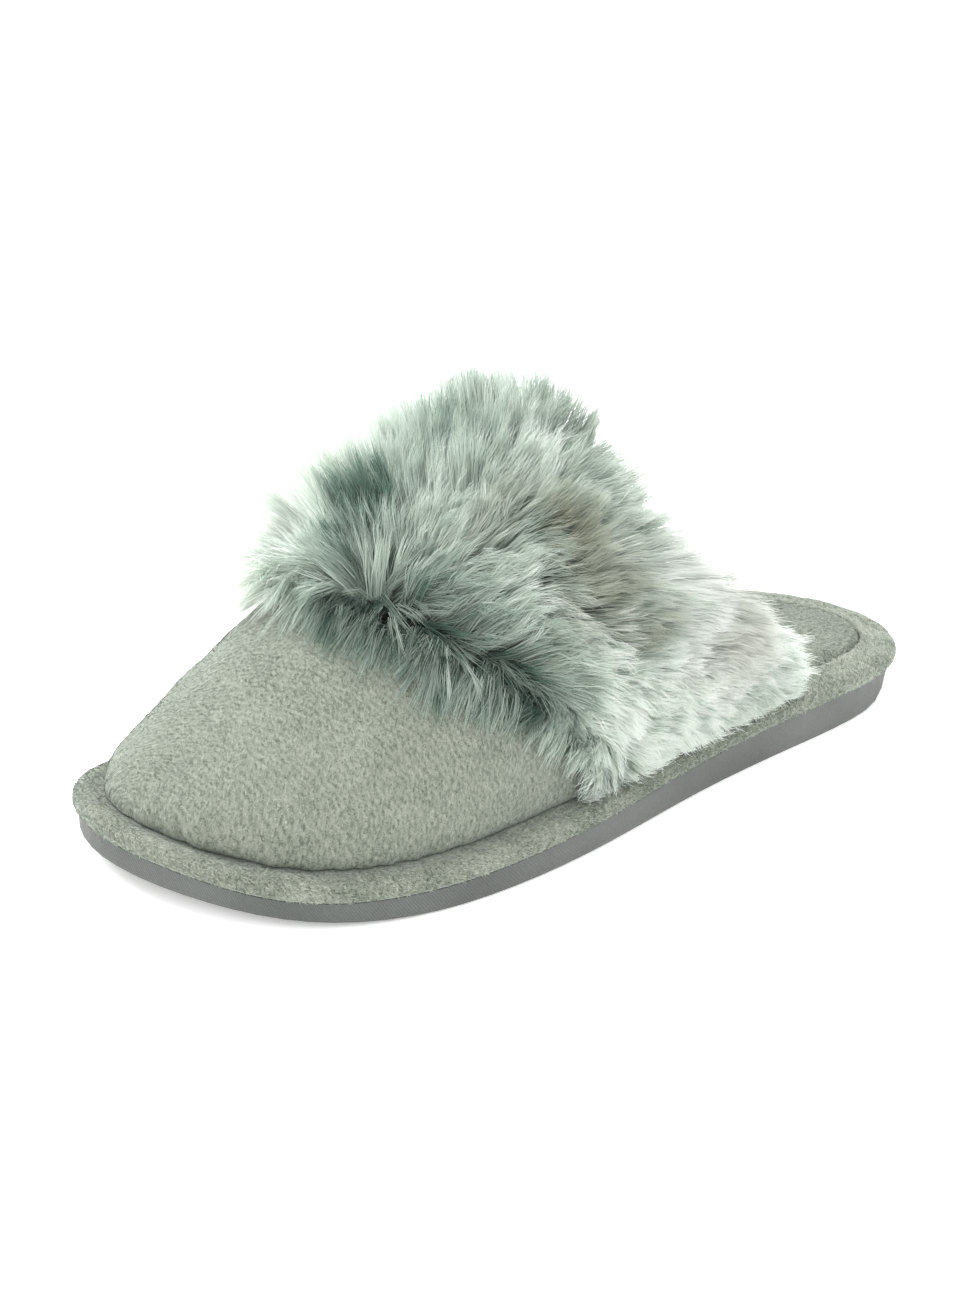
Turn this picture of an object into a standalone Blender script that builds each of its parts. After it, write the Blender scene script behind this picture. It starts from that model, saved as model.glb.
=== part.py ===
"""Faux fur mule slipper, left foot.

Frame: metres, +Z up, floor at Z = 0, the toe points to -Y, the wearer's left (the outer side of this
left slipper) is +X. The origin is the middle of the slipper's box, on the floor.

Inside this file a place on the slipper is given by
  fwd   distance forward from the back of the heel, along the sole
  side  distance from the sole's long axis, + to the outer side and - to the inner side
  up    height above the floor
and all the tables are in millimetres.

Pieces, from the floor up: outsole, platform (with its plush wrap, which shows as the rand), insole,
upper (toe to collar, one hollow shell) and the fur cuff that is sewn over the upper's instep.
"""

import math

import bmesh
import bpy
import numpy as np

MM = 0.001

# ---------------------------------------------------------------- driving sizes, in millimetres
SOLE_LENGTH = 254.7  # outsole's top edge, heel to toe
TOE_SPRING = 5.1  # lift of the sole's underside at the toe tip
SPRING_START = 185.0  # fwd where the toe spring begins
HEEL_ROLL = 3.0  # lift of the underside at the back of the heel
HEEL_ROLL_LENGTH = 22.0
HEEL_TUCK = 1.6  # how far the wall's foot is tucked in at the back of the heel
GAP = 0.3  # between pieces that are glued or sewn face to face
INSOLE_RECESS = 3.3  # depth of the platform's recess for the insole
INSOLE_CROWN = 1.2  # how far the insole's middle stands over the seam land
UPPER_WALL = 3.0  # plush, foam and lining together
FUR_DEPTH = 18.0  # fur pile over the upper, on the instep
FUR_SIDE_SHARE = 0.54  # pile at the platform as a share of that: it lies flatter there
FUR_INNER_SWELL = 0.30  # the pile stands taller by this share towards the inner side of the ridge
FUR_INNER_AT = math.radians(-24.0)  # where it stands tallest
FUR_INNER_REACH = math.radians(31.0)
WAIST_RECESS = 1.2  # how far the tread is drawn up under the waist
WAIST = (84.0, 98.0, 124.0, 138.0)  # fwd where that recess starts, is full, ends
# the assembly is moved by this much, so that its box is centred on the origin
CENTRE_SIDE = 1.2
CENTRE_FWD = 127.8

# outline of the outsole's top edge, seen from above, going round from the heel by the outer side
OUTLINE = (
    # place              fwd    side
    ("heel back", 0.7, 0.0),
    ("heel corner outer", 5.3, 17.8),
    ("heel side outer", 25.0, 30.1),
    ("heel front outer", 58.8, 34.9),
    ("waist outer", 98.7, 39.7),
    ("ball rear outer", 138.7, 47.0),
    ("ball outer", 173.9, 50.6),
    ("little toe", 204.2, 48.3),
    ("toe side outer", 229.0, 38.3),
    ("toe corner outer", 245.7, 19.2),
    ("toe tip", 254.7, -5.5),
    ("toe corner inner", 250.8, -27.7),
    ("toe side inner", 234.5, -41.6),
    ("big toe", 207.9, -48.7),
    ("ball inner", 177.7, -49.1),
    ("ball rear inner", 142.4, -43.1),
    ("waist inner", 101.9, -34.9),
    ("heel front inner", 61.5, -31.8),
    ("heel side inner", 28.5, -29.6),
    ("heel corner inner", 8.6, -17.4),
)
ROWS = len(OUTLINE)
TOE_ROW = 10
RING_STEPS = 4  # ring points for each row of the outline

# height of the outsole's top edge
OUTSOLE_TOP = (
    # fwd    up
    (0.0, 9.8),
    (30.0, 11.2),
    (90.0, 10.4),
    (150.0, 8.5),
    (200.0, 7.2),
    (235.0, 8.3),
    (255.0, 11.9),
)

# outsole's wall, from the tread up: how far in from the outline, and height as a share of the wall
OUTSOLE_WALL = (
    # place        inset   share of height
    ("tread edge", 1.4, 0.0),
    ("lower round", 0.7, 0.07),
    ("wall foot", 0.3, 0.20),
    ("wall top", 0.0, 0.95),
    ("top edge", 0.3, 1.0),
)

# the rand, which is the plush wrap from the outsole up to the seam land
RAND = (
    # fwd    height  swell past the outline
    (0.0, 4.2, 1.4),
    (30.0, 4.4, 1.5),
    (90.0, 5.1, 1.0),
    (150.0, 5.2, 0.8),
    (225.0, 5.2, 0.9),
    (255.0, 5.2, 1.4),
)

# rand's section: inset from the outline, share of the swell, share of the rand's height
RAND_SECTION = (
    # place           inset  of swell  of height
    ("under", 1.4, 0.0, 0.0),
    ("lower curve", 0.3, 0.55, 0.15),
    ("widest", 0.0, 1.0, 0.5),
    ("upper curve", 0.9, 0.75, 0.81),
    ("shoulder", 2.9, 0.0, 0.97),
)

# inset of the upper's outer face and of the insole's recess from the outline
SEAM_INSET = (
    # fwd    upper   recess
    (0.0, 6.4, 8.8),
    (30.0, 6.4, 9.3),
    (60.0, 6.4, 10.3),
    (140.0, 5.4, 9.2),
    (255.0, 5.4, 9.2),
)

# height of the upper's ridge over its seam
RIDGE = (
    # fwd    height
    (40.0, 80.0),
    (80.0, 79.5),
    (118.0, 77.6),
    (140.0, 73.0),
    (160.0, 66.4),
    (180.0, 56.8),
    (200.0, 43.6),
    (215.0, 32.4),
    (228.0, 23.6),
    (238.0, 16.2),
    (244.0, 11.0),
    (248.2, 5.0),
    (249.6, 0.0),
)
# side position of the ridge
RIDGE_SIDE = (
    # fwd    side
    (40.0, -1.0),
    (118.0, -2.5),
    (180.0, -4.0),
    (249.6, -6.0),
)
ARCH_WIDE = 2.15  # exponent across the arch, over 2 makes fuller shoulders
ARCH_HIGH = 2.0  # exponent up the arch

# lines that run over the instep, by the angle from the ridge down to the platform: they keep their
# place near the ridge, then sweep back
EDGES = {
    # line: (fwd on the ridge, fwd at the platform, angle where the sweep starts, where it ends)
    "collar": (125.0, 62.0, 38.0, 90.0),
    "fur front": (183.0, 142.0, 22.0, 84.0),
}

# fur cuff's section across its band: "from" says which edge a distance is measured from, "along" is
# towards the heel, "proud" is how far out from the upper's outer face (negative is inside the shoe)
CUFF_SECTION = (
    # place            from      along   proud
    ("front foot", "front", 0.0, GAP),
    ("front lip", "front", -7.0, 0.24 * FUR_DEPTH),
    ("front roll", "front", -9.0, 0.64 * FUR_DEPTH),
    ("front crown", "front", -3.5, 0.98 * FUR_DEPTH),
    ("front crest", "front", 9.0, 1.10 * FUR_DEPTH),
    ("crown", "middle", 2.0, 1.06 * FUR_DEPTH),
    ("back crown", "back", -7.0, 0.95 * FUR_DEPTH),
    ("back roll", "back", 2.5, 0.68 * FUR_DEPTH),
    ("back lip", "back", 5.5, 0.30 * FUR_DEPTH),
    ("back tuck", "back", 4.5, -1.6),
    ("lining lip", "back", 1.2, -UPPER_WALL),
    ("collar edge inner", "back", GAP, -UPPER_WALL + 0.3),
    ("collar edge outer", "back", GAP, GAP),
)
CUFF_INNER_STEPS = 5  # points that carry the cuff's inner face back to the front foot

UPPER_STATIONS = 24  # along the upper
UPPER_ARCH = 32  # faces across the arch


# ---------------------------------------------------------------- plain curve tools
def hermite(table, column, x):
    """A smooth value read from a table's column, by the forward distance in its first column."""
    xs = [row[0] for row in table]
    ys = [row[column] for row in table]
    x = min(max(x, xs[0]), xs[-1])
    slopes = []
    for i in range(len(xs)):
        lo, hi = max(i - 1, 0), min(i + 1, len(xs) - 1)
        slopes.append((ys[hi] - ys[lo]) / (xs[hi] - xs[lo]))
    i = 0
    while i < len(xs) - 2 and x > xs[i + 1]:
        i += 1
    h = xs[i + 1] - xs[i]
    s = (x - xs[i]) / h
    return (
        ys[i] * (2 * s**3 - 3 * s**2 + 1)
        + h * slopes[i] * (s**3 - 2 * s**2 + s)
        + ys[i + 1] * (3 * s**2 - 2 * s**3)
        + h * slopes[i + 1] * (s**3 - s**2)
    )


def closed_spline(points):
    """Second derivatives of a closed cubic spline with even knots through the points."""
    n = len(points)
    p = np.array(points, float)
    matrix = np.zeros((n, n))
    for i in range(n):
        matrix[i, i] = 4
        matrix[i, (i + 1) % n] = matrix[i, (i - 1) % n] = 1
    right = 6 * (np.roll(p, -1, 0) - 2 * p + np.roll(p, 1, 0))
    return p, np.linalg.solve(matrix, right)


KNOTS, BENDS = closed_spline([(row[1], row[2]) for row in OUTLINE])


def outline_at(t):
    """Place and direction on the outline, t counting its rows."""
    i = int(math.floor(t)) % ROWS
    j = (i + 1) % ROWS
    s = t - math.floor(t)
    a, b, ma, mb = KNOTS[i], KNOTS[j], BENDS[i], BENDS[j]
    point = (1 - s) * a + s * b + ((1 - s) ** 3 - (1 - s)) * ma / 6 + (s**3 - s) * mb / 6
    way = b - a - (3 * (1 - s) ** 2 - 1) * ma / 6 + (3 * s**2 - 1) * mb / 6
    return point, way / np.linalg.norm(way)


def inset_outline(t, inset):
    """(fwd, side) of the outline moved in by inset; a negative inset moves it out."""
    point, way = outline_at(t)
    return point + inset * np.array((way[1], -way[0]))


def underside(fwd):
    toe = max(0.0, (fwd - SPRING_START) / (SOLE_LENGTH - SPRING_START))
    heel = max(0.0, (HEEL_ROLL_LENGTH - fwd) / HEEL_ROLL_LENGTH)
    return TOE_SPRING * toe**2 + HEEL_ROLL * heel**2


def outsole_top(fwd):
    return hermite(OUTSOLE_TOP, 1, fwd)


def land_height(fwd):
    """Height of the platform's flat land, inside the rand."""
    return outsole_top(fwd) + GAP + hermite(RAND, 1, fwd)


def seam_height(fwd):
    """Height where the upper's edge stands on that land."""
    return land_height(fwd) + GAP


# ---------------------------------------------------------------- meshes
def place(fwd, side, up):
    return ((side - CENTRE_SIDE) * MM, -(fwd - CENTRE_FWD) * MM, up * MM)


def finish(name, vertices, faces, colour, roughness):
    mesh = bpy.data.meshes.new(name)
    mesh.from_pydata(vertices, [], faces)
    work = bmesh.new()
    work.from_mesh(mesh)
    bmesh.ops.remove_doubles(work, verts=work.verts, dist=1e-6)
    bmesh.ops.triangulate(work, faces=work.faces, quad_method="SHORT_EDGE")
    bmesh.ops.recalc_face_normals(work, faces=work.faces)
    work.to_mesh(mesh)
    work.free()
    mesh.shade_smooth()
    mesh.set_sharp_from_angle(angle=math.radians(42))
    material = bpy.data.materials.new(name)
    material.use_nodes = True
    shader = material.node_tree.nodes["Principled BSDF"]
    shader.inputs["Base Color"].default_value = (*colour, 1)
    shader.inputs["Roughness"].default_value = roughness
    shader.inputs["Metallic"].default_value = 0.0
    mesh.materials.append(material)
    obj = bpy.data.objects.new(name, mesh)
    bpy.context.scene.collection.objects.link(obj)
    return obj


def ring(inset, up):
    """A closed loop of points; inset and up are functions of (fwd) on the outline and on the loop."""
    points = []
    for k in range(ROWS * RING_STEPS):
        t = k / RING_STEPS
        base, _ = outline_at(t)
        fwd, side = inset_outline(t, inset(base[0]))
        points.append((fwd, side, up(fwd)))
    return points


def ring_solid(name, rings, colour, roughness):
    """A solid through rings, from its lower cap to its upper cap. A cap joins the outer and inner sides rung by rung, so that it follows the sole's length."""
    count = len(rings[0])
    toe = TOE_ROW * RING_STEPS
    vertices = [place(*p) for loop in rings for p in loop]
    faces = []
    for r in range(len(rings) - 1):
        a, b = r * count, (r + 1) * count
        for k in range(count):
            n = (k + 1) % count
            faces.append((a + k, a + n, b + n, b + k))
    for start in (0, (len(rings) - 1) * count):
        for k in range(toe):
            outer, inner = (start + k, start + k + 1), (
                start + (count - k) % count,
                start + (count - k - 1) % count,
            )
            corners = []
            for c in (outer[0], outer[1], inner[1], inner[0]):
                if c not in corners:
                    corners.append(c)
            faces.append(tuple(corners))
    return finish(name, vertices, faces, colour, roughness)


def waist_lift(fwd):
    start, full, ending, end = WAIST
    s = min((fwd - start) / (full - start), (end - fwd) / (end - ending), 1.0)
    s = max(0.0, s)
    return WAIST_RECESS * s * s * (3 - 2 * s)


def make_outsole():
    rings = [
        ring(lambda fwd: 10.5, lambda fwd: underside(fwd) + waist_lift(fwd)),
        ring(lambda fwd: 8.5, underside),
    ]
    for _, inset, share in OUTSOLE_WALL:

        def up(fwd, share=share):
            low, high = underside(fwd), outsole_top(fwd)
            return low + share * (high - low)

        def into(fwd, inset=inset, share=share):
            at_heel = max(0.0, (HEEL_ROLL_LENGTH - fwd) / HEEL_ROLL_LENGTH)
            return inset + HEEL_TUCK * (1 - share) * at_heel

        rings.append(ring(into, up))
    return ring_solid("outsole", rings, (0.30, 0.31, 0.30), 0.55)


def make_platform():
    rings = []
    for _, inset, of_swell, of_height in RAND_SECTION:
        rings.append(
            ring(
                lambda fwd, i=inset, s=of_swell: i - s * hermite(RAND, 2, fwd),
                lambda fwd, h=of_height: outsole_top(fwd)
                + GAP
                + h * hermite(RAND, 1, fwd),
            )
        )
    rings.append(ring(lambda fwd: 4.4, land_height))
    rings.append(ring(lambda fwd: hermite(SEAM_INSET, 2, fwd), land_height))
    rings.append(
        ring(
            lambda fwd: hermite(SEAM_INSET, 2, fwd) + 0.05,
            lambda fwd: land_height(fwd) - INSOLE_RECESS,
        )
    )
    return ring_solid("platform", rings, (0.40, 0.45, 0.39), 0.9)


def make_insole():
    section = (
        # inset past the recess, height over the land
        (GAP + 0.1, GAP - INSOLE_RECESS),
        (GAP + 0.1, -0.9),
        (1.5, 0.1),
        (6.0, 0.8 * INSOLE_CROWN),
        (14.0, INSOLE_CROWN),
    )
    rings = [
        ring(
            lambda fwd, i=i: hermite(SEAM_INSET, 2, fwd) + i,
            lambda fwd, h=h: land_height(fwd) + h,
        )
        for i, h in section
    ]
    return ring_solid("insole", rings, (0.42, 0.47, 0.41), 0.9)


# ---------------------------------------------------------------- the upper's form
class Form:
    """The upper's outer face, or a face a given distance out from it (proud) or in (negative)."""

    def __init__(self, proud):
        steps = 60
        tip_t = TOE_ROW
        sides = {}
        for name, start, end in (("outer", 0.6, tip_t), ("inner", ROWS - 0.6, tip_t)):
            run = []
            for k in range(steps * 4 + 1):
                t = start + (end - start) * k / (steps * 4)
                base, _ = outline_at(t)
                run.append(
                    inset_outline(t, hermite(SEAM_INSET, 1, base[0]) - proud)
                )
            sides[name] = run
        tip = max(sides["outer"] + sides["inner"], key=lambda p: p[0])
        self.tip_fwd, self.tip_side = float(tip[0]), float(tip[1])
        self.sides = {}
        for name, sign in (("outer", 1), ("inner", -1)):
            # points past the furthest one belong to the other side
            both = [
                p
                for p in sides["outer"] + sides["inner"]
                if sign * (p[1] - self.tip_side) >= 0
            ]
            both.sort(key=lambda p: p[0])
            self.sides[name] = np.array(both, float)
        # ridge line moved along its own normal
        xs = np.array(
            [RIDGE[0][0] + (RIDGE[-1][0] - RIDGE[0][0]) * math.sin(k / 300 * math.pi / 2) for k in range(301)]
        )
        ys = np.array([hermite(RIDGE, 1, x) for x in xs])
        along = np.stack([np.gradient(xs), np.gradient(ys)], 1)
        along /= np.linalg.norm(along, axis=1)[:, None]
        moved = np.stack([xs - along[:, 1] * proud, ys + along[:, 0] * proud], 1)
        # the ridge ends at this face's own tip
        stretch = (self.tip_fwd - moved[0, 0]) / (moved[:, 0].max() - moved[0, 0])
        fwd = moved[0, 0] + (moved[:, 0] - moved[0, 0]) * stretch
        keep = np.concatenate([[True], np.diff(np.maximum.accumulate(fwd)) > 0])
        self.ridge_fwd, self.ridge_up = fwd[keep], np.maximum(moved[:, 1][keep], 0)
        self.ridge_up[-1] = 0.0 if proud <= 0 else self.ridge_up[-1]

    def point(self, fwd, angle):
        """angle is 0 on the ridge, +90 degrees at the outer seam and -90 at the inner one."""
        fwd = min(fwd, self.tip_fwd)
        name = "outer" if angle >= 0 else "inner"
        run = self.sides[name]
        edge = float(np.interp(fwd, run[:, 0], run[:, 1]))
        ridge = hermite(RIDGE_SIDE, 1, fwd)
        near_tip = max(0.0, min(1.0, (self.tip_fwd - fwd) / 12.0))
        ridge = self.tip_side + (ridge - self.tip_side) * near_tip
        s, c = abs(math.sin(angle)), max(0.0, math.cos(angle))
        side = ridge + (edge - ridge) * s ** (2 / ARCH_WIDE)
        high = float(np.interp(fwd, self.ridge_fwd, self.ridge_up))
        return fwd, side, seam_height(fwd) + high * c ** (2 / ARCH_HIGH)


def edge_line(name, angle):
    """fwd of a line of EDGES at an angle of the arch."""
    top, base, start, end = EDGES[name]
    s = max(0.0, min(1.0, (abs(math.degrees(angle)) - start) / (end - start)))
    return top + (base - top) * s * s * (3 - 2 * s)


def make_upper():
    outer, inner = Form(0.0), Form(-UPPER_WALL)
    angles = [
        -math.pi / 2 + math.pi * j / UPPER_ARCH for j in range(UPPER_ARCH + 1)
    ]
    vertices, faces = [], []

    def grid(form):
        first = len(vertices)
        for i in range(UPPER_STATIONS):
            share = math.sin(math.pi / 2 * i / UPPER_STATIONS)
            for angle in angles:
                back = edge_line("collar", angle)
                fwd = back + (form.tip_fwd - back) * share
                vertices.append(place(*form.point(fwd, angle)))
        vertices.append(
            place(form.tip_fwd, form.tip_side, seam_height(form.tip_fwd))
        )
        return first

    across = UPPER_ARCH + 1
    a, b = grid(outer), grid(inner)
    pole = UPPER_STATIONS * across
    for start, turn in ((a, 1), (b, -1)):
        for i in range(UPPER_STATIONS):
            for j in range(UPPER_ARCH):
                here = start + i * across + j
                if i == UPPER_STATIONS - 1:
                    quad = (here, here + 1, start + pole)
                else:
                    quad = (here, here + 1, here + across + 1, here + across)
                faces.append(quad[::turn])
    for j in range(UPPER_ARCH):  # the collar's edge
        faces.append((a + j, b + j, b + j + 1, a + j + 1))
    for j in (0, UPPER_ARCH):  # the two feet that stand on the rand
        for i in range(UPPER_STATIONS):
            p = a + i * across + j
            q = b + i * across + j
            pn = a + pole if i == UPPER_STATIONS - 1 else p + across
            qn = b + pole if i == UPPER_STATIONS - 1 else q + across
            faces.append((p, pn, qn, q))
    return finish("upper", vertices, faces, (0.42, 0.47, 0.41), 0.9)


def make_cuff():
    forms = {}

    def form(proud):
        key = round(proud, 2)
        if key not in forms:
            forms[key] = Form(key)
        return forms[key]

    arch = UPPER_ARCH
    vertices, faces = [], []
    for j in range(arch + 1):
        angle = -math.pi / 2 + math.pi * j / arch
        front = edge_line("fur front", angle)
        back = edge_line("collar", angle)
        flat = FUR_SIDE_SHARE + (1 - FUR_SIDE_SHARE) * math.cos(angle)
        away = (angle - FUR_INNER_AT) / FUR_INNER_REACH
        flat *= 1 + FUR_INNER_SWELL * math.exp(-away * away)
        start = {"front": front, "middle": (front + back) / 2, "back": back}
        loop = []
        for _, origin, along, proud in CUFF_SECTION:
            loop.append((start[origin] - along, proud))
        last, first = loop[-1][0], loop[0][0]
        for k in range(1, CUFF_INNER_STEPS):
            loop.append((last + (first - last) * k / CUFF_INNER_STEPS, GAP))
        for fwd, proud in loop:
            if proud > GAP:
                proud *= flat
            vertices.append(place(*form(proud).point(fwd, angle)))
    count = len(CUFF_SECTION) + CUFF_INNER_STEPS - 1
    for j in range(arch):
        for k in range(count):
            n = (k + 1) % count
            a, b = j * count, (j + 1) * count
            faces.append((a + k, a + n, b + n, b + k))
    for start in (0, arch * count):
        faces.extend(cuff_end(start, count))
    return finish("fur_cuff", vertices, faces, (0.55, 0.62, 0.57), 0.95)


def cuff_end(start, count):
    """The flat end that faces the rand: strips from the pile's outer run to its inner run."""
    last_outer = [row[0] for row in CUFF_SECTION].index("back lip")
    outer = [start + k for k in range(0, last_outer + 1)]
    inner = [start] + [start + k for k in range(count - 1, last_outer, -1)]
    faces = []
    i = j = 0
    while i < len(outer) - 1 or j < len(inner) - 1:
        share_i = (i + 1) / (len(outer) - 1) if i < len(outer) - 1 else 9
        share_j = (j + 1) / (len(inner) - 1) if j < len(inner) - 1 else 9
        if share_i <= share_j:
            corners = (outer[i], outer[i + 1], inner[j])
            i += 1
        else:
            corners = (outer[i], inner[j + 1], inner[j])
            j += 1
        if len(set(corners)) == 3:
            faces.append(corners)
    return faces


for old in list(bpy.data.objects):
    bpy.data.objects.remove(old)

make_outsole()
make_platform()
make_insole()
make_upper()
make_cuff()
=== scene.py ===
"""Looks of the faux fur mule slipper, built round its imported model.

A place on the slipper is given as in the model: fwd is the distance forward from the back of the heel,
side the distance to the outer side and up the height, all in millimetres. On the upper a place is
(fwd, angle), where angle is 0 on the ridge, +90 degrees at the outer seam and -90 at the inner one, and
"proud" is the distance out from the upper's outer face.
"""

import math

import bpy
import numpy as np
from mathutils import Matrix, Vector


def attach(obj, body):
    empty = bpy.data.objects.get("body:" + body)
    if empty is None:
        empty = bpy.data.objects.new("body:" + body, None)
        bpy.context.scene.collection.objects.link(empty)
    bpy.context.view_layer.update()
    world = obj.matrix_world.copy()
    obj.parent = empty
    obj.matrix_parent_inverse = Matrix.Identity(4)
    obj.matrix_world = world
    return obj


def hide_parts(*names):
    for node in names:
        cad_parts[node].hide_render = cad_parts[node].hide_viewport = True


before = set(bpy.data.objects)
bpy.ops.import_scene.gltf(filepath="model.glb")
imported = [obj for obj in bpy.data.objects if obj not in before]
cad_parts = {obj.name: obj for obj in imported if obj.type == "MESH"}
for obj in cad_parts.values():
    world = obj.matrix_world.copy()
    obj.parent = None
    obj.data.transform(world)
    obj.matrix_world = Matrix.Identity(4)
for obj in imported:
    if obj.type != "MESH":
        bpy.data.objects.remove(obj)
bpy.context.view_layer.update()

MM = 0.001
CENTRE_SIDE, CENTRE_FWD = 1.2, 127.8

# ---------------------------------------------------------------- the model's sizes, in millimetres
SOLE_LENGTH, GAP, INSOLE_RECESS, INSOLE_CROWN, UPPER_WALL = 254.7, 0.3, 3.3, 1.2, 3.0
OUTLINE = (
    (0.7, 0.0),
    (5.3, 17.8),
    (25.0, 30.1),
    (58.8, 34.9),
    (98.7, 39.7),
    (138.7, 47.0),
    (173.9, 50.6),
    (204.2, 48.3),
    (229.0, 38.3),
    (245.7, 19.2),
    (254.7, -5.5),
    (250.8, -27.7),
    (234.5, -41.6),
    (207.9, -48.7),
    (177.7, -49.1),
    (142.4, -43.1),
    (101.9, -34.9),
    (61.5, -31.8),
    (28.5, -29.6),
    (8.6, -17.4),
)
ROWS, TOE_ROW = len(OUTLINE), 10
OUTSOLE_TOP = (
    (0.0, 9.8),
    (30.0, 11.2),
    (90.0, 10.4),
    (150.0, 8.5),
    (200.0, 7.2),
    (235.0, 8.3),
    (255.0, 11.9),
)
RAND = (
    # fwd, height, swell
    (0.0, 4.2, 1.4),
    (30.0, 4.4, 1.5),
    (90.0, 5.1, 1.0),
    (150.0, 5.2, 0.8),
    (225.0, 5.2, 0.9),
    (255.0, 5.2, 1.4),
)
SEAM_INSET = (
    # fwd, upper, insole's recess
    (0.0, 6.4, 8.8),
    (30.0, 6.4, 9.3),
    (60.0, 6.4, 10.3),
    (140.0, 5.4, 9.2),
    (255.0, 5.4, 9.2),
)
RIDGE = (
    (40.0, 80.0),
    (80.0, 79.5),
    (118.0, 77.6),
    (140.0, 73.0),
    (160.0, 66.4),
    (180.0, 56.8),
    (200.0, 43.6),
    (215.0, 32.4),
    (228.0, 23.6),
    (238.0, 16.2),
    (244.0, 11.0),
    (248.2, 5.0),
    (249.6, 0.0),
)
RIDGE_SIDE = ((40.0, -1.0), (118.0, -2.5), (180.0, -4.0), (249.6, -6.0))
ARCH_WIDE, ARCH_HIGH = 2.15, 2.0
EDGES = {
    "collar": (125.0, 62.0, 38.0, 90.0),
    "fur front": (183.0, 142.0, 22.0, 84.0),
}


# ---------------------------------------------------------------- curves, for arrays
def hermite(table, column, x):
    xs = np.array([row[0] for row in table], float)
    ys = np.array([row[column] for row in table], float)
    n = len(xs)
    lo, hi = np.maximum(np.arange(n) - 1, 0), np.minimum(np.arange(n) + 1, n - 1)
    slope = (ys[hi] - ys[lo]) / (xs[hi] - xs[lo])
    x = np.clip(np.asarray(x, float), xs[0], xs[-1])
    i = np.clip(np.searchsorted(xs, x, side="left") - 1, 0, n - 2)
    h = xs[i + 1] - xs[i]
    s = (x - xs[i]) / h
    return (
        ys[i] * (2 * s**3 - 3 * s**2 + 1)
        + h * slope[i] * (s**3 - 2 * s**2 + s)
        + ys[i + 1] * (3 * s**2 - 2 * s**3)
        + h * slope[i + 1] * (s**3 - s**2)
    )


def smooth(x, a, b):
    s = np.clip((np.asarray(x, float) - a) / (b - a), 0, 1)
    return s * s * (3 - 2 * s)


def mix(a, b, s):
    return a + (b - a) * s


def spline_bends(points):
    n = len(points)
    m = np.zeros((n, n))
    for i in range(n):
        m[i, i] = 4
        m[i, (i + 1) % n] = m[i, (i - 1) % n] = 1
    return np.linalg.solve(
        m, 6 * (np.roll(points, -1, 0) - 2 * points + np.roll(points, 1, 0))
    )


KNOTS = np.array(OUTLINE, float)
BENDS = spline_bends(KNOTS)


def outline_at(t):
    t = np.asarray(t, float)
    whole = np.floor(t)
    i = whole.astype(int) % ROWS
    j = (i + 1) % ROWS
    s = (t - whole)[..., None]
    a, b, ma, mb = KNOTS[i], KNOTS[j], BENDS[i], BENDS[j]
    point = (1 - s) * a + s * b + ((1 - s) ** 3 - (1 - s)) * ma / 6 + (s**3 - s) * mb / 6
    way = b - a - (3 * (1 - s) ** 2 - 1) * ma / 6 + (3 * s**2 - 1) * mb / 6
    return point, way / np.linalg.norm(way, axis=-1, keepdims=True)


def inset_outline(t, inset):
    point, way = outline_at(t)
    inset = np.broadcast_to(inset, point.shape[:-1])[..., None]
    return point + inset * np.stack([way[..., 1], -way[..., 0]], -1)


def outsole_top(fwd):
    return hermite(OUTSOLE_TOP, 1, fwd)


def land_height(fwd):
    return outsole_top(fwd) + GAP + hermite(RAND, 1, fwd)


def edge_line(name, angle):
    """angle in degrees"""
    top, base, start, end = EDGES[name]
    return top + (base - top) * smooth(np.abs(angle), start, end)


# ---------------------------------------------------------------- smooth noise in space, always the same
def waves(seed, size, count=24):
    """A smooth random function of points in millimetres, about -1 to 1, with features of that size."""
    r = np.random.default_rng(seed)
    ways = r.normal(size=(count, 3))
    ways /= np.linalg.norm(ways, axis=1)[:, None]
    ways *= (2 * math.pi / size) * r.uniform(0.6, 1.5, (count, 1))
    phase = r.uniform(0, 2 * math.pi, count)

    def value(p):
        return np.sin(p @ ways.T + phase).sum(-1) * (1.3 / math.sqrt(count))

    return value


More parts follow.
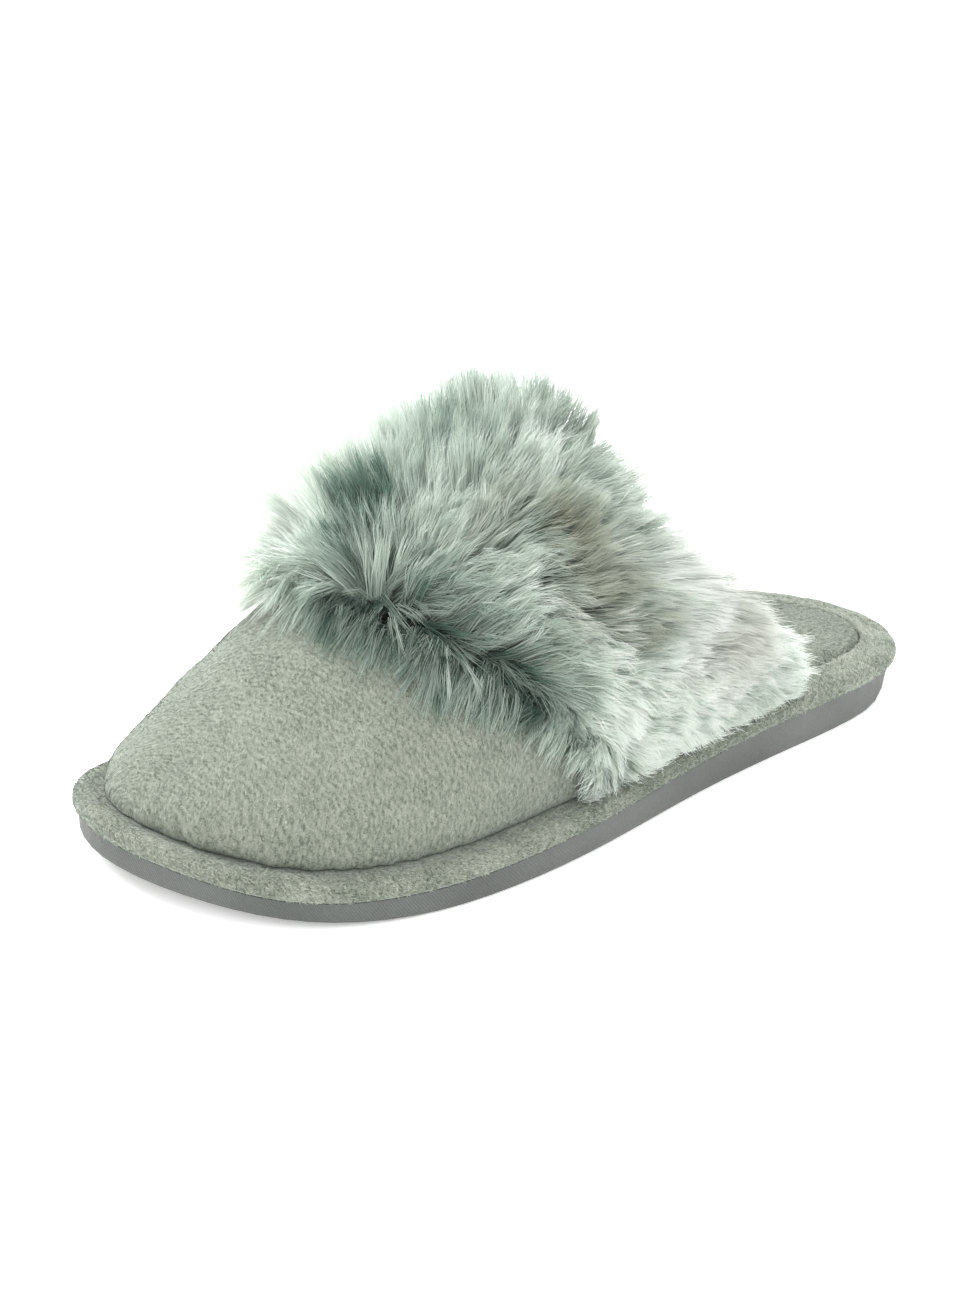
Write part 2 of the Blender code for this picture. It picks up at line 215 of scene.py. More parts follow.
# ---------------------------------------------------------------- the upper's outer face on a fine grid
class Face:
    """The upper's outer face: point and outward normal at any (fwd, angle in degrees)."""

    F0, NF, NA = 36.0, 420, 241

    def __init__(self):
        t = np.linspace(0.6, ROWS - 0.6, 2400)
        base, _ = outline_at(t)
        run = inset_outline(t, hermite(SEAM_INSET, 1, base[:, 0]))
        tip = int(run[:, 0].argmax())
        self.tip_fwd, self.tip_side = run[tip]
        outer, inner = run[: tip + 1], run[tip:][::-1]
        q = np.linspace(0, 1, self.NF)
        fwd = self.F0 + (self.tip_fwd - self.F0) * np.sin(q * math.pi / 2)
        angle = np.radians(np.linspace(-90, 90, self.NA))
        edge_o = np.interp(fwd, outer[:, 0], outer[:, 1])
        edge_i = np.interp(fwd, inner[:, 0], inner[:, 1])
        xs = RIDGE[0][0] + (RIDGE[-1][0] - RIDGE[0][0]) * np.sin(q * math.pi / 2)
        ys = np.maximum(hermite(RIDGE, 1, xs), 0)
        stretch = (self.tip_fwd - xs[0]) / (xs[-1] - xs[0])
        high = np.interp(fwd, xs[0] + (xs - xs[0]) * stretch, ys)
        ridge = hermite(RIDGE_SIDE, 1, fwd)
        near = np.clip((self.tip_fwd - fwd) / 12, 0, 1)
        ridge = self.tip_side + (ridge - self.tip_side) * near
        s, c = np.abs(np.sin(angle)), np.maximum(np.cos(angle), 0)
        edge = np.where(angle[None, :] >= 0, edge_o[:, None], edge_i[:, None])
        side = ridge[:, None] + (edge - ridge[:, None]) * s[None] ** (2 / ARCH_WIDE)
        up = (land_height(fwd) + GAP)[:, None] + high[:, None] * c[None] ** (
            2 / ARCH_HIGH
        )
        grid = np.stack([np.repeat(fwd[:, None], self.NA, 1), side, up], -1)
        a = np.gradient(grid, axis=0)
        b = np.gradient(grid, axis=1)
        n = np.cross(b, a)
        n[-1] = n[-2]
        n /= np.linalg.norm(n, axis=-1, keepdims=True) + 1e-12
        if n[self.NF // 2, self.NA // 2, 2] < 0:
            n = -n
        # the tangents, per millimetre forward and per degree
        along = np.gradient(grid, fwd, axis=0, edge_order=1)
        round_ = np.gradient(grid, np.degrees(angle), axis=1)
        self.grid, self.normal, self.along, self.round = grid, n, along, round_

    def _read(self, field, fwd, angle):
        ratio = np.clip((fwd - self.F0) / (self.tip_fwd - self.F0), 0, 1)
        x = np.arcsin(ratio) / (math.pi / 2) * (self.NF - 1)
        y = (np.clip(angle, -90, 90) + 90) / 180 * (self.NA - 1)
        i = np.clip(x.astype(int), 0, self.NF - 2)
        j = np.clip(y.astype(int), 0, self.NA - 2)
        u, v = (x - i)[..., None], (y - j)[..., None]
        return (
            field[i, j] * (1 - u) * (1 - v)
            + field[i + 1, j] * u * (1 - v)
            + field[i, j + 1] * (1 - u) * v
            + field[i + 1, j + 1] * u * v
        )

    def frame_at(self, fwd, angle):
        n = self._read(self.normal, fwd, angle)
        n /= np.linalg.norm(n, axis=-1, keepdims=True) + 1e-12
        return self._read(self.grid, fwd, angle), n

    def point(self, fwd, angle, proud):
        p, n = self.frame_at(fwd, angle)
        below = np.maximum(self.F0 - fwd, 0)[..., None]
        p = p + n * np.asarray(proud)[..., None]
        return p - below * np.array([1.0, 0.0, 0.0])

    def tangents(self, fwd, angle):
        return self._read(self.along, fwd, angle), self._read(self.round, fwd, angle)


FACE = Face()


def to_world(p):
    """(fwd, side, up) in millimetres to the frame's metres"""
    p = np.asarray(p, float)
    return (
        np.stack(
            [p[..., 1] - CENTRE_SIDE, -(p[..., 0] - CENTRE_FWD), p[..., 2]], -1
        )
        * MM
    )


def to_world_way(v):
    return np.stack([v[..., 1], -v[..., 0], v[..., 2]], -1)


# ---------------------------------------------------------------- meshes from arrays
def mesh_from(name, points, faces, smooth_faces=True):
    """points in the frame's metres; faces is a list of (n, k) arrays of vertex numbers"""
    mesh = bpy.data.meshes.new(name)
    points = np.asarray(points, np.float32).reshape(-1, 3)
    mesh.vertices.add(len(points))
    mesh.vertices.foreach_set("co", points.ravel())
    loops = np.concatenate([np.asarray(f, np.int32).ravel() for f in faces])
    sizes = np.concatenate([np.full(len(f), f.shape[1], np.int32) for f in faces])
    mesh.loops.add(len(loops))
    mesh.loops.foreach_set("vertex_index", loops)
    mesh.polygons.add(len(sizes))
    starts = np.concatenate([[0], np.cumsum(sizes)[:-1]]).astype(np.int32)
    mesh.polygons.foreach_set("loop_start", starts)
    mesh.update(calc_edges=True)
    mesh.validate()
    mesh.polygons.foreach_set(
        "use_smooth", np.full(len(mesh.polygons), smooth_faces, bool)
    )
    return mesh


def add_object(mesh, material, replaces=()):
    obj = bpy.data.objects.new(mesh.name, mesh)
    bpy.context.scene.collection.objects.link(obj)
    mesh.materials.clear()
    mesh.materials.append(material)
    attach(obj, "root")
    if replaces:
        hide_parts(*replaces)
    return obj


def grid_faces(rows, columns, start=0, turn=False, closed=False):
    i = np.arange(rows - 1)[:, None]
    j = np.arange(columns if closed else columns - 1)[None, :]
    n = (j + 1) % columns
    a, b = i * columns + j, i * columns + n
    c, d = (i + 1) * columns + n, (i + 1) * columns + j
    quads = np.stack([a, b, c, d], -1).reshape(-1, 4) + start
    return quads[:, ::-1] if turn else quads


def set_cloth(mesh, uv):
    """a map in metres over the cloth, one value per vertex"""
    layer = mesh.uv_layers.new(name="cloth", do_init=False)
    loop = np.empty(len(mesh.loops), np.int32)
    mesh.loops.foreach_get("vertex_index", loop)
    layer.uv.foreach_set("vector", (np.asarray(uv, np.float32) * MM).reshape(-1, 2)[loop].ravel())


def run_length(points, axis):
    gap = np.linalg.norm(np.diff(points, axis=axis), axis=-1)
    zero = np.zeros_like(np.take(gap, [0], axis))
    return np.concatenate([zero, np.cumsum(gap, axis)], axis)


def set_attribute(mesh, name, values):
    layer = mesh.attributes.new(name, "FLOAT", "POINT")
    layer.data.foreach_set("value", np.asarray(values, np.float32).ravel())


# ---------------------------------------------------------------- materials
def srgb(r, g, b):
    def lin(c):
        return c / 12.92 if c <= 0.04045 else ((c + 0.055) / 1.055) ** 2.4

    return (lin(r), lin(g), lin(b), 1.0)


class Nodes:
    """Short names for building a material's nodes."""

    def __init__(self, name):
        self.material = bpy.data.materials.new(name)
        self.material.use_nodes = True
        self.tree = self.material.node_tree
        self.tree.nodes.clear()
        self.out = self.tree.nodes.new("ShaderNodeOutputMaterial")
        self.shader = self.tree.nodes.new("ShaderNodeBsdfPrincipled")
        self.link(self.shader.outputs[0], self.out.inputs["Surface"])
        self.coords = None

    def link(self, a, b):
        self.tree.links.new(a, b)

    def put(self, socket, value):
        if hasattr(value, "links"):
            self.link(value, socket)
        else:
            socket.default_value = value

    def object_coords(self):
        if self.coords is None:
            self.coords = self.tree.nodes.new("ShaderNodeTexCoord")
        return self.coords.outputs["Object"]

    def mapped(self, scale=(1, 1, 1), rotation=(0, 0, 0), location=(0, 0, 0), vector=None):
        n = self.tree.nodes.new("ShaderNodeMapping")
        self.put(n.inputs["Vector"], vector or self.object_coords())
        n.inputs["Scale"].default_value = scale
        n.inputs["Rotation"].default_value = rotation
        n.inputs["Location"].default_value = location
        return n.outputs[0]

    def noise(self, size, vector=None, detail=2.0, rough=0.5, distort=0.0):
        """size: a feature's size in metres of the vector's space"""
        n = self.tree.nodes.new("ShaderNodeTexNoise")
        self.put(n.inputs["Vector"], vector or self.object_coords())
        n.inputs["Scale"].default_value = 1 / size
        n.inputs["Detail"].default_value = detail
        n.inputs["Roughness"].default_value = rough
        n.inputs["Distortion"].default_value = distort
        return n.outputs["Fac"]

    def wave(self, size, vector=None, distort=0.0, detail=2.0, detail_scale=1.0, axis="X"):
        n = self.tree.nodes.new("ShaderNodeTexWave")
        n.bands_direction = axis
        self.put(n.inputs["Vector"], vector or self.object_coords())
        n.inputs["Scale"].default_value = 2 * math.pi / size / 20
        n.inputs["Distortion"].default_value = distort
        n.inputs["Detail"].default_value = detail
        n.inputs["Detail Scale"].default_value = detail_scale
        return n.outputs["Fac"]

    def ramp(self, value, stops, ease="LINEAR"):
        n = self.tree.nodes.new("ShaderNodeValToRGB")
        n.color_ramp.interpolation = ease
        e = n.color_ramp.elements
        while len(e) < len(stops):
            e.new(0.5)
        for k, (at, colour) in enumerate(stops):
            e[k].position = at
            e[k].color = colour
        self.put(n.inputs[0], value)
        return n.outputs[0]

    def math(self, kind, a, b=0.0, c=None, clamp=False):
        n = self.tree.nodes.new("ShaderNodeMath")
        n.operation = kind
        n.use_clamp = clamp
        self.put(n.inputs[0], a)
        self.put(n.inputs[1], b)
        if c is not None:
            self.put(n.inputs[2], c)
        return n.outputs[0]

    def remap(self, value, a, b, c=0.0, d=1.0):
        n = self.tree.nodes.new("ShaderNodeMapRange")
        self.put(n.inputs["Value"], value)
        for key, number in (("From Min", a), ("From Max", b), ("To Min", c), ("To Max", d)):
            n.inputs[key].default_value = number
        return n.outputs[0]

    def blend(self, a, b, share, kind="MIX"):
        n = self.tree.nodes.new("ShaderNodeMix")
        n.data_type = "RGBA"
        n.blend_type = kind
        self.put(n.inputs[0], share)
        self.put(n.inputs[6], a)
        self.put(n.inputs[7], b)
        return n.outputs[2]

    def attribute(self, name):
        n = self.tree.nodes.new("ShaderNodeAttribute")
        n.attribute_name = name
        return n.outputs["Fac"]

    def bump(self, height, distance, strength=1.0, normal=None):
        n = self.tree.nodes.new("ShaderNodeBump")
        n.inputs["Distance"].default_value = distance
        n.inputs["Strength"].default_value = strength
        self.put(n.inputs["Height"], height)
        if normal is not None:
            self.link(normal, n.inputs["Normal"])
        return n.outputs[0]

    def finish(self, colour, roughness, normal=None, sheen=0.0, sheen_tint=None, specular=0.5):
        s = self.shader
        self.put(s.inputs["Base Color"], colour)
        self.put(s.inputs["Roughness"], roughness)
        s.inputs["Specular IOR Level"].default_value = specular
        s.inputs["Sheen Weight"].default_value = sheen
        s.inputs["Sheen Roughness"].default_value = 0.45
        if sheen_tint:
            s.inputs["Sheen Tint"].default_value = sheen_tint
        if normal is not None:
            self.link(normal, s.inputs["Normal"])
        return self.material


def plush_material(name, light, dark, turn=0.0, scale=1.0, rows=0.12):
    """Short nap on a knitted back: specks about 1 mm across, drawn out a little, on faint slanting rows."""
    m = Nodes(name)
    cloth = m.tree.nodes.new("ShaderNodeUVMap")
    cloth.uv_map = "cloth"
    wander = m.tree.nodes.new("ShaderNodeTexNoise")
    m.put(wander.inputs["Vector"], cloth.outputs[0])
    wander.inputs["Scale"].default_value = 1 / 0.006
    shifted = m.tree.nodes.new("ShaderNodeVectorMath")
    shifted.operation = "MULTIPLY_ADD"
    m.link(wander.outputs["Color"], shifted.inputs[0])
    shifted.inputs[1].default_value = (0.0022, 0.0022, 0.0022)
    m.link(cloth.outputs[0], shifted.inputs[2])
    flow = shifted.outputs[0]
    specks = m.noise(
        0.00105 * scale,
        m.mapped(scale=(1.15, 0.62, 1.0), rotation=(0, 0, math.radians(-24) + turn), vector=flow),
        detail=2.0,
        rough=0.55,
    )
    fine = m.noise(0.00052 * scale, flow, detail=2.0, rough=0.6)
    knit = m.wave(0.00125 * scale, m.mapped(rotation=(0, 0, math.radians(-33) + turn), vector=flow), distort=1.2)
    height = m.math("MULTIPLY_ADD", knit, rows, m.math("MULTIPLY_ADD", fine, 0.7, specks))
    brushed = m.noise(0.020, detail=2.0, rough=0.5, distort=0.6)
    tone = m.math(
        "ADD",
        m.remap(height, 0.62 + rows * 0.3, 1.08 + rows * 0.7),
        m.remap(brushed, 0.3, 0.7, -0.14, 0.14),
        clamp=True,
    )
    middle = tuple((a * 0.45 + b * 0.55) for a, b in zip(dark, light))
    colour = m.ramp(tone, ((0.0, dark), (0.45, middle), (1.0, light)))
    normal = m.bump(height, 0.0009 * scale, 0.6)
    return m.finish(colour, 0.92, normal, sheen=0.45, sheen_tint=(0.86, 0.93, 0.88, 1), specular=0.12)


PLUSH = plush_material("plush", srgb(0.56, 0.583, 0.537), srgb(0.37, 0.40, 0.358))
PLUSH_RAND = plush_material("plush_rand", srgb(0.55, 0.573, 0.527), srgb(0.36, 0.39, 0.35), turn=0.9, scale=1.3, rows=0.1)
PLUSH_SOLE = plush_material("plush_insole", srgb(0.51, 0.535, 0.49), srgb(0.36, 0.39, 0.35), turn=0.4, scale=1.1, rows=0.1)


def rubber_material():
    """Matte moulded rubber: fine slanting ribs on the wall of the forefoot, blocks on the tread."""
    m = Nodes("sole_rubber")
    fine = m.noise(0.0006, detail=3.0, rough=0.6)
    broad = m.noise(0.03, detail=2.0)
    split = m.tree.nodes.new("ShaderNodeSeparateXYZ")
    m.link(m.object_coords(), split.inputs[0])
    x, y, z = split.outputs
    # phase of the ribs, in periods of 0.95 mm
    slant = m.math("ADD", m.math("ADD", x, y), m.math("MULTIPLY", z, 0.9))
    ribs = m.math("SINE", m.math("MULTIPLY", slant, 2 * math.pi / 0.00105))
    ribs = m.math("MULTIPLY_ADD", ribs, 0.5, 0.5)
    forefoot = m.remap(y, 0.0, -0.05)
    ribs = m.math("MULTIPLY", ribs, forefoot)
    # tread: rows of bars across the sole with channels between
    bars = m.math("SINE", m.math("MULTIPLY", m.math("ADD", y, m.math("MULTIPLY", m.math("ABSOLUTE", x), 0.45)), 2 * math.pi / 0.0085))
    bars = m.remap(bars, -0.35, 0.05)
    facing = m.tree.nodes.new("ShaderNodeNewGeometry")
    normal = m.tree.nodes.new("ShaderNodeSeparateXYZ")
    m.link(facing.outputs["True Normal"], normal.inputs[0])
    below = m.remap(normal.outputs[2], -0.90, -0.98)
    relief = m.math("MULTIPLY", bars, below)
    height = m.math("MULTIPLY_ADD", ribs, 0.9, m.math("MULTIPLY_ADD", relief, 5.0, fine))
    colour = m.blend(srgb(0.334, 0.346, 0.336), srgb(0.388, 0.400, 0.389), m.remap(broad, 0.35, 0.65))
    colour = m.blend(colour, srgb(0.30, 0.31, 0.30), m.remap(fine, 0.45, 0.75, 0.0, 0.3))
    # painted shade: the grooves between the forefoot's ribs are darker
    colour = m.blend(colour, srgb(0.27, 0.285, 0.275), m.math("MULTIPLY", m.math("SUBTRACT", forefoot, ribs), 0.30))
    return m.finish(colour, m.remap(fine, 0.3, 0.7, 0.5, 0.66), m.bump(height, 0.00022, 0.8), specular=0.4)


RUBBER = rubber_material()

HAIR_STEPS_WHITE, HAIR_STEPS_WARM = 12, 5


def hair_material(name, through):
    """Colour from three values that each hair carries: along (root 0 to tip 1), whiteness with painted light and
    shade in it, and warmth.
    """
    m = Nodes(name)
    along, white_and_painted_light, warm = m.attribute("along"), m.attribute("whiteness_and_painted_light"), m.attribute("warmth")
    # each ramp darkens towards the root: partly the fur's own tipped colour, partly painted shade deep in the pile
    dark_hair = m.ramp(
        along,
        (
            (0.0, srgb(0.15, 0.20, 0.175)),
            (0.45, srgb(0.225, 0.30, 0.265)),
            (0.75, srgb(0.335, 0.435, 0.39)),
            (1.0, srgb(0.48, 0.585, 0.53)),
        ),
    )
    light_hair = m.ramp(
        along,
        (
            (0.0, srgb(0.74, 0.79, 0.75)),
            (0.35, srgb(0.885, 0.915, 0.885)),
            (0.65, srgb(0.955, 0.972, 0.952)),
            (1.0, srgb(0.975, 0.985, 0.970)),
        ),
    )
    warm_hair = m.ramp(
        along,
        (
            (0.0, srgb(0.27, 0.265, 0.22)),
            (0.40, srgb(0.44, 0.43, 0.355)),
            (0.75, srgb(0.60, 0.59, 0.50)),
            (1.0, srgb(0.80, 0.795, 0.715)),
        ),
    )
    colour = m.blend(dark_hair, light_hair, white_and_painted_light)
    between = m.math("MULTIPLY", m.math("MULTIPLY", white_and_painted_light, m.math("SUBTRACT", 1.0, white_and_painted_light)), 4.0)
    colour = m.blend(colour, m.blend(colour, (0.935, 1.0, 0.945, 1), 1.0, "MULTIPLY"), between)
    colour = m.blend(colour, warm_hair, warm)
    m.finish(colour, 0.72, specular=0.12)
    if through:
        t = m.tree.nodes.new("ShaderNodeBsdfTranslucent")
        m.link(colour, t.inputs["Color"])
        both = m.tree.nodes.new("ShaderNodeMixShader")
        both.inputs[0].default_value = through
        m.link(m.shader.outputs[0], both.inputs[1])
        m.link(t.outputs[0], both.inputs[2])
        m.link(both.outputs[0], m.out.inputs["Surface"])
    return m.material


HAIR = hair_material("faux_fur", 0.45)


def backing_material():
    m = Nodes("fur_backing")
    fine = m.noise(0.0012, detail=3.0, rough=0.6)
    colour = m.ramp(fine, ((0.3, srgb(0.34, 0.385, 0.36)), (0.7, srgb(0.50, 0.545, 0.51))))
    return m.finish(colour, 0.95, m.bump(fine, 0.0012), specular=0.1)


BACKING = backing_material()


def nap_material():
    """Short nap: each tuft carries its tone, 0 dark to 1 light, and how near its tip it is."""
    m = Nodes("nap")
    tone, along = m.attribute("tone"), m.attribute("along")
    colour = m.ramp(
        tone,
        (
            (0.0, srgb(0.365, 0.397, 0.352)),
            (0.5, srgb(0.572, 0.598, 0.549)),
            (1.0, srgb(0.715, 0.732, 0.685)),
        ),
    )
    # painted shade: each tuft darker towards its foot
    colour = m.blend(m.blend(colour, (0.66, 0.68, 0.66, 1), 1.0, "MULTIPLY"), colour, along)
    return m.finish(colour, 0.9, sheen=0.3, sheen_tint=(0.88, 0.94, 0.89, 1), specular=0.12)


NAP = nap_material()
NAP_TONES = 9


def make_nap(name, grid, count, length, width, lift, way, seed, size=1.15, ragged=0.9, tone_shift=0.0, weight=None, painted_light=None, rows=None):
    """Nap on a grid of points (rows, columns, 3) in millimetres: one small triangle for each tuft.

    way(points) is the way the nap is brushed; neighbouring tufts over about `size` mm lean alike."""
    r = np.random.default_rng(seed)
    a, b = grid[:-1, :-1], grid[1:, :-1]
    c, d = grid[:-1, 1:], grid[1:, 1:]
    n = np.cross(b + d - a - c, c + d - a - b)
    area = np.linalg.norm(n, axis=-1)
    n = n / (area[..., None] + 1e-12)
    share = area if weight is None else area * weight((a + b + c + d) / 4)
    cell = r.choice(area.size, count, p=(share / share.sum()).ravel())
    i, j = np.unravel_index(cell, area.shape)
    u, v = r.uniform(0, 1, (2, count, 1))
    p = a[i, j] * (1 - u) * (1 - v) + b[i, j] * u * (1 - v) + c[i, j] * (1 - u) * v + d[i, j] * u * v
    n = n[i, j]
    w = way(p)
    w = w - n * (w * n).sum(-1, keepdims=True)
    w /= np.linalg.norm(w, axis=-1, keepdims=True) + 1e-9
    side = np.cross(n, w)
    near, wide, patch = waves(seed + 1, size, 40), waves(seed + 2, size * 2.1), waves(seed + 3, 16)
    # drawn out along the way it is brushed
    drawn = p - w * ((p * w).sum(-1, keepdims=True) * 0.5)
    swing = ragged * (0.9 * near(drawn) + 0.5 * wide(p)) + r.normal(0, 0.22, count)
    raise_ = np.radians(lift + 0.45 * lift * waves(seed + 4, size * 1.2)(drawn) + r.normal(0, 4, count))
    raise_ = np.clip(raise_, 0.08, 1.2)
    lie = w * np.cos(swing)[:, None] + side * np.sin(swing)[:, None]
    up = lie * np.cos(raise_)[:, None] + n * np.sin(raise_)[:, None]
    across = np.cross(up, n)
    across /= np.linalg.norm(across, axis=-1, keepdims=True) + 1e-9
    size_ = length * r.uniform(0.7, 1.25, (count, 1))
    half = across * (width / 2 * r.uniform(0.7, 1.3, (count, 1)))
    p = p - n * 0.08
    points = np.stack([p - half, p + half, p + up * size_], 1)
    faces = np.arange(count * 3).reshape(-1, 3)
    mesh = mesh_from(name, to_world(points.reshape(-1, 3)), [faces])
    shade = n * 0.7 + np.cross(across, up) * np.sign((np.cross(across, up) * n).sum(-1, keepdims=True)) * 0.6
    shade = shade + lie * 0.10
    shade /= np.linalg.norm(shade, axis=-1, keepdims=True)
    mesh.normals_split_custom_set_from_vertices(
        np.repeat(to_world_way(shade), 3, 0).astype(np.float32)
    )
    tone = 0.5 + (0.36 if rows is None else 0.15) * near(drawn + 7.0) + 0.10 * patch(p) + r.normal(0, 0.08, count) + tone_shift
    if rows is not None:
        tone = tone + 0.30 * np.sin(2 * math.pi * rows(p) + 1.1 * waves(seed + 5, 6)(p))
    # painted light and shade, added to the tone
    if painted_light is not None:
        tone = tone + painted_light(p)
    tone = quantised(tone, NAP_TONES)
    along = np.tile([0.0, 0.0, 1.0], count)
    set_attribute(mesh, "tone", np.repeat(tone, 3))
    set_attribute(mesh, "along", along)
    uv = np.stack([0.1 + 0.8 * along, (np.repeat(tone, 3) * (NAP_TONES - 1) + 0.5) / NAP_TONES], -1)
    layer = mesh.uv_layers.new(name="OFBake", do_init=False)
    loop = np.empty(len(mesh.loops), np.int32)
    mesh.loops.foreach_get("vertex_index", loop)
    layer.uv.foreach_set("vector", uv.astype(np.float32)[loop].ravel())
    return add_object(mesh, NAP)


def quantised(x, steps):
    return np.round(np.clip(x, 0, 1) * (steps - 1)) / (steps - 1)


# ---------------------------------------------------------------- vamp
def make_vamp():
    rows, columns = 170, 131
    angle = np.linspace(-90, 90, columns)
    # more columns near both seams
    angle = 90 * np.sign(angle) * (1 - (1 - np.abs(angle) / 90) ** 1.25)
    share = np.sin(np.linspace(0, 1, rows) * math.pi / 2)
    back = edge_line("collar", angle)
    fwd = back[None] + (FACE.tip_fwd - 0.02 - back[None]) * share[:, None]
    ang = np.repeat(angle[None], rows, 0)
    p, n = FACE.frame_at(fwd, ang)
    # distance from the seam, measured up the face
    gap_side = (p[..., 2] - land_height(p[..., 0]) - GAP)
    broad, mid, small = waves(11, 46), waves(12, 19), waves(13, 7.5)
    lift = 0.42 * broad(p) + 0.22 * mid(p) + 0.06 * small(p)
    # puckers where the toe is gathered into the seam
    t = np.arctan2(p[..., 1] + 4, (p[..., 0] - 175) * 1.0)
    pucker = np.sin(t * 46 + 2.2 * np.sin(t * 7.0) + 1.3 * mid(p))
    near = np.exp(-(np.maximum(gap_side, 0) / 7.5)) * smooth(p[..., 0], 165, 205)
    lift = lift + 0.38 * pucker * near
    # the edge rolls in to the seam
    lift = lift - 1.15 * np.exp(-((np.maximum(gap_side, 0) / 1.5) ** 1.2))
    tip = smooth(FACE.tip_fwd - fwd, 0, 6)
    lift = lift * mix(0.35, 1.0, tip)
    outer = p + n * lift[..., None]
    inner_rows = 60
    pick = np.linspace(0, rows - 1, inner_rows).astype(int)
    q, m = p[pick], n[pick]
    inner = q - m * UPPER_WALL
    inner[..., 2] = np.maximum(inner[..., 2], land_height(inner[..., 0]) + 0.15)
    points = np.concatenate([outer.reshape(-1, 3), inner.reshape(-1, 3)])
    first = rows * columns
    faces = [grid_faces(rows, columns), grid_faces(inner_rows, columns, first, turn=True)]
    # collar's edge
    j = np.arange(columns - 1)
    faces.append(np.stack([j + 1, j, first + j, first + j + 1], -1))
    mesh = mesh_from("plush_upper", to_world(points), faces)
    u, v = run_length(p, 0), run_length(p, 1)
    u = u - u[-1:] + (FACE.tip_fwd - 40)
    v = v - v[:, columns // 2][:, None]
    uv = np.stack([u, v], -1)
    set_cloth(mesh, np.concatenate([uv.reshape(-1, 2), uv[pick].reshape(-1, 2)]))
    add_object(mesh, PLUSH, ["upper"])

    def brushed(q):
        return np.tile([0.10, 1.0, -0.10], (len(q), 1))

    def open_vamp(q):
        return (q[..., 0] > 118) * (0.12 + 0.88 * smooth(q[..., 0], 135, 160))

    # painted shade: the vamp's nap darker low down, below about 17 to 27 mm, near the seam
    def edge_shade(q):
        return 0.04 - 0.13 * (1 - smooth(q[:, 2], 17, 27))

    def knit(q):
        return (q[:, 0] + 0.10 * q[:, 1]) / 1.4

    make_nap("upper_nap", outer, 114000, 0.85, 0.28, 12, brushed, 301, size=0.55, ragged=0.45, tone_shift=-0.19, weight=open_vamp, painted_light=edge_shade, rows=knit)


make_vamp()


# ---------------------------------------------------------------- rings round the sole
def ring_points(count, inset, up):
    """count points round the sole; inset and up are arrays or numbers per point, from the fwd of each"""
    t = np.linspace(0, ROWS, count, endpoint=False)
    base, _ = outline_at(t)
    p = inset_outline(t, inset(base[:, 0]))
    return np.concatenate([p, up(p[:, 0])[:, None]], 1)


def make_rand():
    count = 560
    section = (
        # inset, share of swell, height as a share of the rand's
        (2.6, 0.0, -0.03),
        (0.5, 0.20, -0.03),
        (0.02, 0.50, 0.01),
        (-0.12, 0.80, 0.13),
        (-0.12, 0.98, 0.36),
        (0.05, 1.0, 0.58),
        (0.45, 0.93, 0.74),
        (1.1, 0.72, 0.88),
        (1.95, 0.40, 0.985),
        (2.9, 0.16, 1.03),
        (3.8, 0.04, 1.02),
        (4.6, 0.0, 0.955),
    )
    rings = []
    for inset, of_swell, of_height in section:
        rings.append(
            ring_points(
                count,
                lambda f, i=inset, s=of_swell: i - s * hermite(RAND, 2, f),
                lambda f, h=of_height: outsole_top(f) + GAP + h * hermite(RAND, 1, f),
            )
        )
    # inwards from the roll: a dip at the vamp's seam, and in front of the insole the land
    at_seam = lambda f: hermite(SEAM_INSET, 1, f)
    recess = lambda f: hermite(SEAM_INSET, 2, f)
    open_heel = lambda f: 1 - smooth(f, 58, 74)
    for share, dip in ((0.25, 0.25), (0.5, 0.30), (0.75, 0.2), (0.92, 0.4)):
        rings.append(
            ring_points(
                count,
                lambda f, s=share: mix(at_seam(f), recess(f), s) * 1.0,
                lambda f, d=dip, s=share: land_height(f)
                - mix(d, -0.12 if s < 0.9 else 0.45, open_heel(f)),
            )
        )
    rings.append(ring_points(count, recess, lambda f: land_height(f) - 1.4))
    rings.append(ring_points(count, lambda f: recess(f) + 0.05, lambda f: land_height(f) - INSOLE_RECESS))
    p = np.stack(rings)
    mid, small = waves(21, 16), waves(22, 5.5)
    wobble = 0.16 * mid(p) + 0.08 * small(p)
    n_roll = len(section)
    for r in range(1, n_roll - 1):
        p[r, :, 2] += wobble[r] * smooth(r, 2.5, 6)
    points = p.reshape(-1, 3)
    rows = len(p)
    faces = [grid_faces(rows, count, closed=True)]
    # the recess's floor
    toe = TOE_ROW * count // ROWS
    start = (rows - 1) * count
    k = np.arange(0, toe)
    floor = np.stack(
        [start + k, start + k + 1, start + (count - k - 1) % count, start + (count - k) % count], -1
    )
    faces.append(floor[1:-1])
    mesh = mesh_from("plush_rand", to_world(points), faces)
    flat = p[..., :2].copy()
    spread = run_length(p, 0)[..., None] - 12.0
    way = flat[0] - flat[-1]
    way /= np.linalg.norm(way, axis=-1, keepdims=True) + 1e-9
    set_cloth(mesh, flat[-1][None] - way[None] * spread)
    add_object(mesh, PLUSH_RAND, ["platform"])

    def brushed(q):
        t = np.arctan2(q[:, 1], q[:, 0] - 128)
        return np.stack([-np.sin(t) * 0.9, np.cos(t) * 0.9, np.full(len(q), -0.18)], -1)

    # painted light on the rand at the toe, and painted shade on it under the fur
    def painted_toe_light_and_shade(q):
        painted_light_at_toe = 0.30 * np.exp(-(((q[:, 0] - 240) / 20.0) ** 2) - ((q[:, 1] + 28) / 26.0) ** 2)
        painted_shade_under_fur = smooth(q[:, 0], 40, 62) * (1 - smooth(q[:, 0], 146, 160)) * (np.abs(q[:, 1]) > 20)
        return painted_light_at_toe - 0.24 * painted_shade_under_fur - 0.05

    closed = np.concatenate([p, p[:, :1]], 1)[2:-1]
    make_nap("platform_nap", closed, 86000, 1.15, 0.28, 13, brushed, 321, size=0.62, ragged=0.6, painted_light=painted_toe_light_and_shade)


make_rand()


